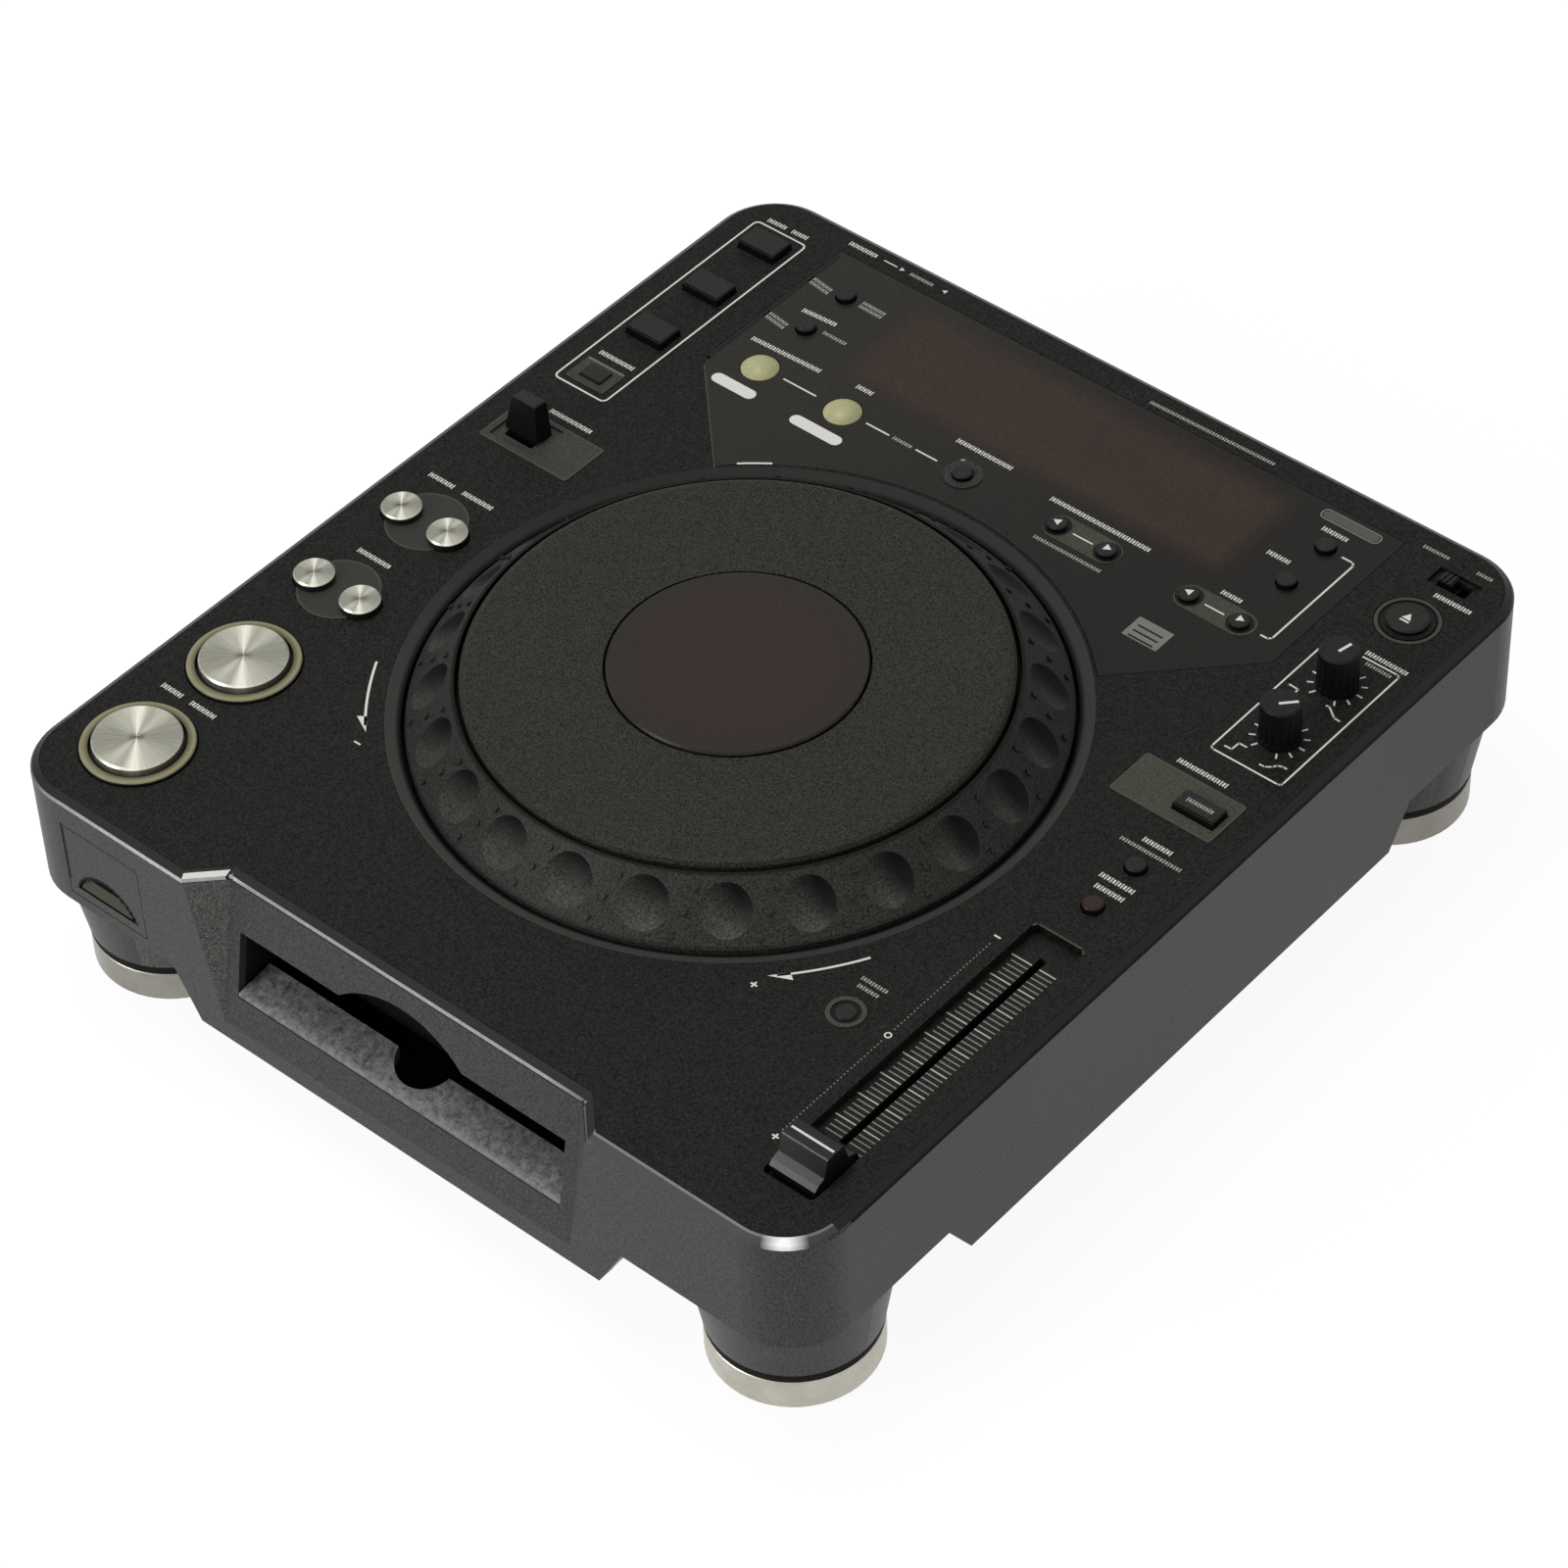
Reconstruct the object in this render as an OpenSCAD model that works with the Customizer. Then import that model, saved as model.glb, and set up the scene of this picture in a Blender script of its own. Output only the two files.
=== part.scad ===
// Tabletop DJ disc player: slot drive, big dimpled jog dial, tempo fader.
// Millimetres, +Z up, front is -Y. Origin: centre of the plan, on the floor.

/* [Case round the dial] */
// outer radius of the dial
dial_r = 103; // [94:0.5:114]
// gap between the dial and the hole in the top panel
well_gap = 1.4; // [1:0.1:2]
// width of the bevel round that hole
well_bevel = 4.6; // [3:0.1:5]
// from the bevel to the side faces
side_strip = 51; // [46:0.5:60]
// from the bevel to the front face
front_strip = 51.9; // [47:0.1:60]
// from the bevel to the rear face
rear_strip = 89.1; // [80:0.1:100]
// height of the top face over the floor
case_h = 85; // [78:0.5:96]
// plan radius of the four upright corners
corner_r = 22; // [16:1:26]
// cabinet wall thickness
wall = 3; // [2.6:0.1:3.6]
// width of the chamfer along the cabinet's top edge
edge_w = 2.9; // [1:0.1:2.9]
// height of that chamfer
edge_h = 2.4; // [1:0.1:3]
// lower edge of the walls beside the feet
wall_z = 40; // [37:0.5:42]
// cabinet floor thickness in the four corners
floor_t = 2; // [1.5:0.1:3]
// gap between the cabinet and a panel let into it
panel_gap = 0.15; // [0.1:0.05:0.3]
// thickness of the top panel
panel_t = 3.5; // [3.2:0.1:4]

/* [Skirts under the walls] */
// lowest edge of the front and rear skirts
block_z = 21.5; // [19:0.5:25]
// lowest edge of the side skirts
belly_z = 25; // [23:0.5:28]
// from the side face to the lower end of the front skirt
block_end = 78; // [72:0.5:86]
// from the front face to the lower end of the side skirt
belly_end = 76.5; // [72:0.5:86]
// how far a skirt end slopes out on its way up
skirt_lean = 10; // [6:0.5:12]
// thickness of the front skirt, which backs the sloped front
skirt_t = 5.6; // [5.3:0.1:7]

/* [Front recess and disc slot] */
// radius of the discs it plays
disc_r = 60; // [58:0.5:62]
// width of the recessed front face beside the slot
recess_side = 5; // [3:0.5:8]
// depth of the recess at the top edge
recess_depth = 10.6; // [8:0.1:11.5]
// height at which the sloped face meets the skirt
recess_foot = 29; // [27:0.5:33]
// width of the slot opening beside a disc
slot_side = 6; // [4:0.5:7]
// lower edge of the slot opening
slot_lo = 41; // [39:0.5:42.5]
// from the top face to the upper edge of the slot opening
slot_drop = 19.2; // [18:0.1:22]
// half width of the finger arch over the slot
arch_half = 25; // [18:0.5:30]
// rise of the finger arch
arch_rise = 9.4; // [6:0.2:11]
// height of the disc's way in
disc_lo = 47.5; // [47:0.1:48]
// clear height of the disc's way
disc_gap = 6; // [5.6:0.1:7]
// clear width beside a disc on its way
disc_side = 3.5; // [2.5:0.1:4]
// radius of the finger notch in the lip
notch_r = 10.5; // [8:0.5:14]
// depth of the lip from front to back
lip_d = 12.6; // [10:0.2:13.4]

/* [Feet] */
// foot centre from the side face
foot_side = 31.5; // [31:0.5:34]
// foot centre from the front or rear face
foot_end = 33; // [31:0.5:34]
// radius of the moulded pod at its lower end, over a foot
pod_r = 27.4; // [27:0.1:29]
// radius of the metal foot ring
foot_r = 27; // [25:0.1:27.3]
// top of the metal foot ring
foot_h = 12.3; // [10:0.1:13]
// radius of the rubber core inside the ring
core_r = 24.4; // [20:0.2:24.8]
// radius of the black collar over the ring
collar_r = 26.9; // [25:0.1:27]
// underside of the pod
pod_z = 15.8; // [15:0.1:18]

/* [Jog dial] */
// depth of the bevel round the dial's hole
well_bevel_h = 2; // [1:0.1:2.6]
// height of the dial's shoulder under the top face
dial_drop = 0.6; // [0.2:0.1:1.2]
// rise of the sloped ring over the top face
dial_rise = 15; // [12:0.1:15.4]
// width of the sloped ring, in plan
slope_w = 15.4; // [13:0.1:16]
// from the top of the slope to the touch plate
plate_gap = 2.4; // [2:0.1:3]
// rise of the touch plate over the top face
plate_rise = 17.2; // [16.4:0.1:18.4]
// number of finger dimples
dimples = 24; // [18:1:24]
// radius of one dimple
dimple_r = 8.5; // [6:0.1:9]
// depth of one dimple
dimple_h = 2.2; // [1:0.1:2.6]
// turn of the first dimple from the right
dimple_turn = 8.7; // [0:0.1:15]
// radius of a grip pip
pip_r = 1.3; // [1:0.1:1.5]
// height of a grip pip
pip_h = 0.8; // [0.4:0.1:0.9]
// radius of the fixed window in the dial's middle
window_r = 40.3; // [36:0.1:40.6]
// running clearance of the dial on its post, radial
dial_play = 0.05; // [0.02:0.01:0.1]
// radius of the post the dial turns on
post_r = 30; // [26:0.5:31]

/* [Left hand controls] */
// silver buttons, from the middle of their strip towards the dial
left_shift = 1; // [0:0.1:2]
// spacing of a pair of small silver buttons
pair_w = 20; // [19:0.5:21]
// track buttons, in front of the dial's centre
track_step = 0.9; // [-3:0.1:3]
// search buttons, in front of the dial's centre
search_step = 41; // [38:0.1:44]
// small silver button radius
pair_r = 6.7; // [6:0.1:7.2]
// cue button, from the front face
cue_front = 78.2; // [76:0.1:81]
// play button, from the front face
play_front = 31.9; // [31:0.1:33]
// silver cap radius of the cue and play buttons
big_r = 14.2; // [13:0.1:15.2]
// outer radius of their light rings
halo_r = 18.3; // [17.6:0.1:19]
// rise of the light rings over the top face
halo_rise = 1.2; // [0.6:0.1:2]
// groove between a silver cap and its light ring
halo_gap = 1.2; // [0.4:0.1:1.6]
// rise of the silver caps over the top face
big_rise = 3.4; // [2:0.1:4]
// memory trigger buttons, from the side face
hot_side = 22.6; // [21:0.1:24]
// rearmost memory trigger button, from the rear face
hot_rear = 26.8; // [25:0.1:29]
// pitch of the memory trigger buttons
hot_pitch = 28.3; // [26:0.1:29]
// trigger button width
hot_w = 15; // [12:0.5:16]
// trigger button length
hot_l = 10; // [8:0.5:12]
// record button, in front of the last trigger button
rec_step = 27.6; // [26:0.1:29]
// record button width
rec_w = 9; // [7:0.5:11]
// record button length
rec_l = 6.5; // [5:0.5:8]
// middle of the direction and mode plates, from the side face
plate_side = 30.4; // [29:0.1:31]
// those plates, behind the dial's centre
plate_back = 51.6; // [50:0.5:54]
// plate width
plate_w = 38.4; // [37.4:0.2:39]
// plate length
plate_l = 19.6; // [18.6:0.2:20.4]
// direction lever, from the middle of its plate outward
lever_shift = 7; // [6.6:0.1:7.2]
// lever width at its foot
lever_w = 14; // [12:0.1:14.6]
// lever thickness at its foot
lever_l = 7.2; // [6:0.1:7.4]
// lever width at its top
lever_tip_w = 10; // [8:0.1:12]
// lever thickness at its top
lever_tip_l = 5.4; // [4:0.1:6]
// lever height over the top face
lever_rise = 13.4; // [10:0.2:16]
// lean of the lever to the rear, half its throw
lever_lean = 7; // [4:0.5:8]

/* [Right hand controls] */
// centre line of the right hand controls, from the side face
right_side = 22.2; // [21.6:0.1:23]
// eject button, from the rear face
eject_rear = 40.7; // [39:0.1:43]
// eject button radius
eject_r = 6.9; // [6:0.1:7.4]
// lock switch, from the rear face
lock_rear = 18; // [17:0.1:19]
// lock switch dish, from the side face
lock_side = 20.6; // [20:0.1:21.4]
// rear feel knob, from the rear face
knob_rear = 77.3; // [76:0.1:79]
// spacing of the two feel knobs
knob_pitch = 29.4; // [26:0.1:31]
// knob radius
knob_r = 6.75; // [6:0.05:7.5]
// knob height
knob_h = 14.4; // [11:0.2:16]
// mode button width
mode_w = 15; // [13:0.5:16]
// mode button length
mode_l = 7.6; // [6:0.2:9]
// full travel of the fader
fader_travel = 100; // [90:1:101]
// front end of the fader's trough, from the front face
trough_front = 21.8; // [20:0.1:24]
// width of the fader's trough
trough_w = 19; // [18.6:0.1:20]
// fader cap width
fader_w = 17; // [14:0.1:17.4]
// fader cap length
fader_l = 19; // [16:0.5:20]
// fader cap height over the top face
fader_rise = 9.4; // [7:0.1:11]
// length of the flat ridge along its middle
ridge_l = 7.2; // [3:0.1:8]
// key lock button, behind the trough
keylock_step = 15.1; // [13:0.1:17]
// tempo range button, behind the key lock button
range_step = 20.5; // [18:0.1:22]
// tempo zero button, from the fader towards the dial
reset_side = 29.5; // [28:0.1:31]
// tempo zero button, in front of the fader's middle
reset_step = 0.9; // [-3:0.1:3]
// height of the tempo zero button over the top face
reset_rise = 0.7; // [0.5:0.1:2]

/* [Display panel controls] */
// small round key radius
key_r = 3.3; // [2.8:0.1:3.6]
// height of the small keys over the top face
key_rise = 2; // [1.2:0.1:3]
// edge of the clear panel, from the side face
glass_inset = 43.6; // [42:0.1:46]
// rear edge of the clear panel, from the rear face
glass_rear_inset = 12; // [10:0.1:14]
// its straight sides end this far in front of the row of keys
glass_side_end = 7.5; // [6:0.1:9]
// thickness of the clear panel
glass_t = 2; // [1.6:0.1:2.2]
// gap round the clear panel
glass_gap = 0.25; // [0.1:0.05:0.4]
// display width
disp_w = 152; // [140:1:154]
// display length
disp_l = 39; // [34:0.5:40]
// display middle, from the rear face
disp_rear = 38.5; // [38:0.1:41]
// row of keys, from midway between the dial and the display
row_shift = 0.95; // [0:0.05:2]
// loop in button, from the edge of the clear panel
in_side = 18; // [16:0.1:20]
// spacing of the loop in and loop out buttons
loop_pitch = 35.4; // [32:0.1:38]
// radius of the loop buttons
loop_r = 6.4; // [5:0.1:6.6]
// rise of their domes over the top face
loop_rise = 2.8; // [1.6:0.1:3.4]
// loop exit button, left of the middle
exit_shift = 12.9; // [9:0.1:16]
// wave search pair, right of the middle
wave_shift = 35.8; // [33:0.1:38]
// call pair, from the edge of the clear panel
call_side = 28.3; // [27:0.1:31]
// spacing of those pairs
duo_w = 19.8; // [18:0.1:20.4]
// time and text buttons, from the edge of the clear panel
left_key_side = 17.1; // [15:0.1:19]
// memory and delete buttons, from the edge of the clear panel
right_key_side = 18.3; // [16:0.1:20]
// rear row of small keys, behind the display's middle
key_back = 8.8; // [7:0.1:11]
// front row of small keys, in front of the display's middle
key_front = 11.7; // [10:0.1:14]

/* [Card door] */
// left edge of the door, from the side face
door_side = 24.8; // [24:0.1:26]
// door width
door_w = 32.7; // [30:0.1:34]
// from the top face to the upper edge of the door opening
door_drop = 10.7; // [10:0.1:12]
// lower edge of the door opening
door_lo = 44.2; // [43.5:0.1:46]
// door thickness
door_t = 2.5; // [2.2:0.1:2.6]

/* [Rear] */
// lower edge of the rear opening
rear_lo = 47; // [45:0.5:49]
// from the top face to the upper edge of the rear opening
rear_drop = 8; // [7:0.5:10]
// depth of the recessed jack panel
rear_dip = 9; // [8:0.5:11]
// first jack, from the end of the jack panel
jack_end = 20; // [14:1:26]
// spacing of two jacks of a pair
jack_pitch = 21; // [18:0.5:22]
// spacing of the two pairs
jack_pair = 46; // [40:1:50]

/* [Fits] */
// clearance between a button and its hole
key_gap = 0.4; // [0.3:0.05:0.5]
// radial clearance of small pins
pin_play = 0.05; // [0.02:0.01:0.1]

/* [Hidden] */
$fn = 64;
eps = 0.01;
well_r = dial_r + well_gap;
well_bevel_r = well_r + well_bevel;
half_w = well_bevel_r + side_strip;
half_d = well_bevel_r + (front_strip + rear_strip) / 2;
case_w = 2 * half_w;
case_d = 2 * half_d;
jog_y = (front_strip - rear_strip) / 2;
foot_x = half_w - foot_side;
foot_y = half_d - foot_end;
block_half = half_w - block_end;
belly_half = half_d - belly_end;
disc_half = disc_r + disc_side;    // half widths at the slot, from the disc outward
slot_half = disc_r + slot_side;
recess_half = slot_half + recess_side;
slot_hi = case_h - slot_drop;
under = case_h - panel_t;          // underside of the top panel
post_w = 4.4;                      // posts in the four corners
post_x = half_w - corner_r + (corner_r - wall - post_w + 0.8) / sqrt(2);
post_y = half_d - corner_r + (corner_r - wall - post_w + 0.8) / sqrt(2);
slope = recess_depth / (case_h - recess_foot);
left_x = -well_bevel_r - (side_strip - wall) / 2 + left_shift;
track_y = jog_y - track_step;
search_y = jog_y - search_step;
cue_y = -half_d + cue_front;
play_y = -half_d + play_front;
hot_x = -half_w + hot_side;
hot_y = half_d - hot_rear;
rec_y = hot_y - 2 * hot_pitch - rec_step;
plate_x = half_w - plate_side;
plate_y = jog_y + plate_back;
lever_x = -plate_x - lever_shift;
right_x = half_w - right_side;
eject_y = half_d - eject_rear;
lock_x = half_w - lock_side;
lock_y = half_d - lock_rear;
knob_hi_y = half_d - knob_rear;
knob_lo_y = knob_hi_y - knob_pitch;
fader_half = fader_travel / 2;
trough_l = fader_travel + fader_l + 5;
fader_x = right_x + 0.2;
fader_y = -half_d + trough_front + trough_l / 2;
keylock_y = fader_y + trough_l / 2 + keylock_step;
range_y = keylock_y + range_step;
reset_x = fader_x - reset_side;
reset_y = fader_y - reset_step;
disp_y = half_d - disp_rear;
row_y = (jog_y + well_bevel_r + disp_y - disp_l / 2) / 2 - row_shift;
glass_half = half_w - glass_inset;
glass_rear = half_d - glass_rear_inset;
glass_side = row_y - glass_side_end;
in_x = -glass_half + in_side;
out_x = in_x + loop_pitch;
exit_x = -exit_shift;
wave_x = wave_shift;
call_x = glass_half - call_side;
left_key_x = -glass_half + left_key_side;
right_key_x = glass_half - right_key_side;
key_hi_y = disp_y + key_back;
key_lo_y = disp_y - key_front;
board_z = case_h - 15;             // top boards hang here
board_t = 1.6;
boss_r = 2.2;                      // bosses that hold them: side, before and behind the dial
boss_side = 44.5;
boss_front = 51.4;
boss_rear = 78.6;
key_foot = case_h - 9;             // lower end of the button stems
lug_t = 1.6;                       // retaining flange of a button
lug_top = under - 0.3;
lug_w = 1.2;
dial_in_r = dial_r - slope_w;      // top of the slope
plate_r = dial_in_r - plate_gap;
dial_z = case_h - dial_drop;       // shoulder of the dial
ring_top = case_h + dial_rise;
plate_top = case_h + plate_rise;
well_lip = case_h - well_bevel_h;
bucket_z = case_h - 17;
slant_x = dial_r - 0.6 - dial_in_r;
slant_z = ring_top - dial_z - 0.2;
slant = sqrt(slant_x * slant_x + slant_z * slant_z);
nx = slant_z / slant;              // outward normal of the sloped ring
nz = slant_x / slant;
mid_r = (dial_r - 0.6 + dial_in_r) / 2;
mid_z = (ring_top + dial_z + 0.2) / 2;
dimple_ball = (dimple_r * dimple_r + dimple_h * dimple_h) / (2 * dimple_h);
pip_lean = 1.9;
skirt_w = dial_r - 4.5;            // inner radius of the dial's skirt
wheel_r = 8;
wheel_gap = 0.3;
wheel_y = jog_y - (skirt_w - wheel_r - wheel_gap);
lever_z = case_h - 7.5;            // lever pivot
lever_pin = 2;
lever_stem_w = 10.8;
lever_stem_l = 5;
lever_slot_w = 19;
lever_slot_l = 15;
lever_slot_y = plate_y + 0.4;
mode_x = plate_x + 8.8;
mode_y = plate_y - 0.8;
rec_x = hot_x - 0.6;
lock_run = 5;
door_x = -half_w + door_side;
door_hi = case_h - door_drop;
door_mid = door_x + door_w / 2;
hinge_r = door_t / 2 - 0.05;
hinge_y = -half_d + door_t / 2;
hinge_z = door_hi - 0.3 - hinge_r;
hinge_pin = 0.8;
card_z = (door_lo + door_hi) / 2 - 1;
card_t = 2.6;
rear_half = half_w - corner_r;
rear_hi = case_h - rear_drop;
rocker_x = rear_half - 26;
inlet_x = rear_half - 63;
rocker_z = rear_hi - 15;
rocker_w = 20;
rocker_h = 12;
rear_face = half_d - rear_dip;     // outer face of the jack panel
pan_z = belly_z + 1;
pan_t = 1.5;
drive_lo = 36;
drive_hi = disc_lo + disc_gap + 5.2;
drive_half = disc_half + 4.5;
drive_front = -half_d + 30;
hub_y = drive_front + disc_r + 8;
drive_rear = hub_y + disc_r + 20;
roller_r = 4.2;
roller_y = drive_front + 9;
roller_z = disc_lo - 0.4 - roller_r;
hub_r = 14;
supply_w = 98;                     // power supply board, its left rear corner and tall parts
supply_l = 126;
supply_x = -74;
supply_y = half_d - 31.5;
supply_z = pan_z + 8;
tall_part_h = 24;
sled_w = 40;                       // pickup sled, from side to side and front to back
sled_l = 22;
sled_front = hub_y + 24;
sled_h = 5.1;
sled_z = drive_lo + 2.9;
rail_x = sled_w / 2 - 4;
mouth_rear = drive_front;
arch_r = (arch_half * arch_half + arch_rise * arch_rise) / (2 * arch_rise);
lip_front = -half_d + (slot_lo + 1.7 - recess_foot) * slope;
lip_rise = 3.8;
small_keys = [
    [left_key_x, key_hi_y], [left_key_x, key_lo_y], [exit_x, row_y],
    [wave_x - duo_w / 2, row_y], [wave_x + duo_w / 2, row_y],
    [call_x - duo_w / 2, row_y], [call_x + duo_w / 2, row_y],
    [right_key_x, key_hi_y], [right_key_x, key_lo_y],
    [right_x, range_y], [right_x, keylock_y], [reset_x, reset_y]];
foot_at = [[-1, -1], [1, -1], [1, 1], [-1, 1]];

// ---------------------------------------------------------------- shared shapes

// rounded rectangle from squares and circles, so that its arcs stay arcs
module plan(w, d, r) {
    square([w - 2 * r, d], center = true);
    square([w, d - 2 * r], center = true);
    for (sx = [-1, 1], sy = [-1, 1])
        translate([sx * (w / 2 - r), sy * (d / 2 - r)]) circle(r);
}

module slab(w, d, r, z0, z1) {
    translate([0, 0, z0]) linear_extrude(z1 - z0) plan(w, d, r);
}

module block(x0, x1, y0, y1, z0, z1) {
    translate([x0, y0, z0]) cube([x1 - x0, y1 - y0, z1 - z0]);
}

module rod(x, y, r, z0, z1) {
    translate([x, y, z0]) cylinder(r = r, h = z1 - z0);
}

// the wedge taken out of the front: sloped face, 45 degree ends; grown by off
function face_y(z, off) = -half_d + (z - recess_foot) * slope + off;
module front_wedge(off) {
    lo = recess_foot - 12;
    hi = case_h + 2;
    out = -half_d - 15;
    h = recess_half + off * (sqrt(2) - 1);
    a = face_y(lo, off);
    b = face_y(hi, off);
    polyhedron(
        points = [[-h, a, lo], [h, a, lo], [h + a - out, out, lo], [-h - a + out, out, lo],
            [-h, b, hi], [h, b, hi], [h + b - out, out, hi], [-h - b + out, out, hi]],
        faces = [[3, 2, 1, 0], [4, 5, 6, 7], [5, 4, 0, 1], [6, 5, 1, 2], [7, 6, 2, 3],
            [4, 7, 3, 0]]);
}

// what the chamfered edge loses: its corner is the origin, its body lies at -x, -y
module edge_loss() {
    polygon([[-edge_w, 1], [-edge_w, 0], [-0.2 * edge_w, -0.6 * edge_h], [0, -edge_h],
        [1, -edge_h], [1, 1]]);
}

// chamfers one straight top edge, whose outward side is +Y before the turn
module edge_cut(x, y, l, turn) {
    translate([x, y, case_h]) rotate([0, 0, turn]) rotate([90, 0, 90])
        linear_extrude(l, center = true) edge_loss();
}

module corner_cut() {
    for (q = [0:3]) {
        sx = (q == 0 || q == 3) ? 1 : -1;
        sy = q < 2 ? 1 : -1;
        translate([sx * (half_w - corner_r), sy * (half_d - corner_r), case_h])
            rotate([0, 0, q * 90]) rotate_extrude(angle = 90)
                translate([corner_r, 0]) edge_loss();
    }
}

// the finger arch and the slot, looking along Y
module slot_shape(grow) {
    translate([-slot_half - grow, slot_lo - grow])
        square([2 * (slot_half + grow), slot_hi - slot_lo + 2 * grow]);
    intersection() {
        translate([0, slot_hi + arch_rise - arch_r]) circle(arch_r + grow);
        translate([-arch_half - grow - 6, slot_lo])
            square([2 * (arch_half + grow + 6), slot_hi - slot_lo + arch_rise + grow + 1]);
    }
}

module along_y(y0, y1) {
    translate([0, y1, 0]) rotate([90, 0, 0]) linear_extrude(y1 - y0) children();
}

module along_x(x0, x1) {
    translate([x0, 0, 0]) rotate([90, 0, 90]) linear_extrude(x1 - x0) children();
}

// ---------------------------------------------------------------- housing

module skirts() {
    b = block_half;
    s = belly_half;
    l = skirt_lean;
    front = [[-b - l, wall_z + eps], [b + l, wall_z + eps], [b, block_z], [-b, block_z]];
    side = [[-s - l, wall_z + eps], [s + l, wall_z + eps], [s, belly_z], [-s, belly_z]];
    along_y(-half_d, -half_d + skirt_t) polygon(front);
    along_y(half_d - wall, half_d) polygon(front);
    along_x(-half_w, -half_w + wall) polygon(side);
    along_x(half_w - wall, half_w) polygon(side);
}

module pods() {
    for (f = foot_at) translate([f[0] * foot_x, f[1] * foot_y, pod_z])
        cylinder(r1 = pod_r, r2 = min(half_w - foot_x, half_d - foot_y) - 0.2,
            h = wall_z - pod_z + eps);
}

module cabinet_shell() {
    iw = case_w - 2 * wall;
    id = case_d - 2 * wall;
    ir = corner_r - wall;
    difference() {
        union() {
            difference() {
                union() {
                    slab(case_w, case_d, corner_r, wall_z, case_h);
                    skirts();
                    pods();
                }
                difference() {
                    slab(iw, id, ir, wall_z + floor_t, case_h + 1);
                    front_wedge(wall);
                }
                // cross shaped hole in the floor, over the pan
                block(-block_half - 6, block_half + 6, -half_d + skirt_t, half_d - wall,
                    wall_z - 1, wall_z + floor_t + 1);
                block(-half_w + wall, half_w - wall, -belly_half - 5, belly_half + 5,
                    wall_z - 1, wall_z + floor_t + 1);
                for (f = foot_at)
                    rod(f[0] * foot_x, f[1] * foot_y, pod_r - 3, pod_z + 3, wall_z + 3);
            }
            // posts that carry the top panel
            for (f = foot_at) rod(f[0] * post_x, f[1] * post_y, post_w, wall_z + 1, under);
        }
        front_wedge(0);
        along_y(-half_d - 1, -half_d + 22) slot_shape(0);
        // card door opening, with the bore for the door's pins
        block(door_x - 0.3, door_x + door_w + 0.3, -half_d - 1, -half_d + wall + 1,
            door_lo, door_hi);
        along_x(door_x - 2.4, door_x + door_w + 2.4)
            translate([hinge_y, hinge_z]) circle(hinge_pin + pin_play);
        // rear opening
        block(-rear_half, rear_half, half_d - wall - 1, half_d + 1, rear_lo, rear_hi);
    }
}

module cabinet() color([0.42, 0.43, 0.43]) {
    difference() {
        cabinet_shell();
        edge_cut(0, half_d, case_w - 2 * corner_r, 0);
        edge_cut(0, -half_d + recess_depth, 2 * recess_half + edge_w, 180);
        for (s = [-1, 1]) {
            edge_cut(s * half_w, 0, case_d - 2 * corner_r, -s * 90);
            edge_cut(s * (half_w - corner_r + recess_half + recess_depth) / 2, -half_d,
                half_w - corner_r - recess_half - recess_depth, 180);
            edge_cut(s * (recess_half + recess_depth / 2), -half_d + recess_depth / 2,
                recess_depth * sqrt(2) + 1, s * 135);
        }
        corner_cut();
    }
}

module control_holes(z0, z1) {
    g = key_gap;
    for (k = small_keys) rod(k[0], k[1], key_r + g, z0, z1);
    for (x = [in_x, out_x]) rod(x, row_y, loop_r + g, z0, z1);
    for (s = [-1, 1], y = [track_y, search_y])
        rod(left_x + s * pair_w / 2, y, pair_r + g, z0, z1);
    for (y = [cue_y, play_y]) rod(left_x, y, halo_r + g, z0, z1);
    for (i = [0:2])
        translate([hot_x, hot_y - i * hot_pitch, z0])
            linear_extrude(z1 - z0) square([hot_w + 2 * g, hot_l + 2 * g], center = true);
    translate([rec_x, rec_y, z0])
        linear_extrude(z1 - z0) square([rec_w + 2 * g, rec_l + 2 * g], center = true);
    rod(right_x, eject_y, eject_r + g, z0, z1);
    for (y = [knob_hi_y, knob_lo_y]) rod(right_x, y, 3 + g, z0, z1);
    block(lock_x - lock_run / 2 - 3, lock_x + lock_run / 2 + 3, lock_y - 2.7,
        lock_y + 2.7, z0, z1);
}

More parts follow.
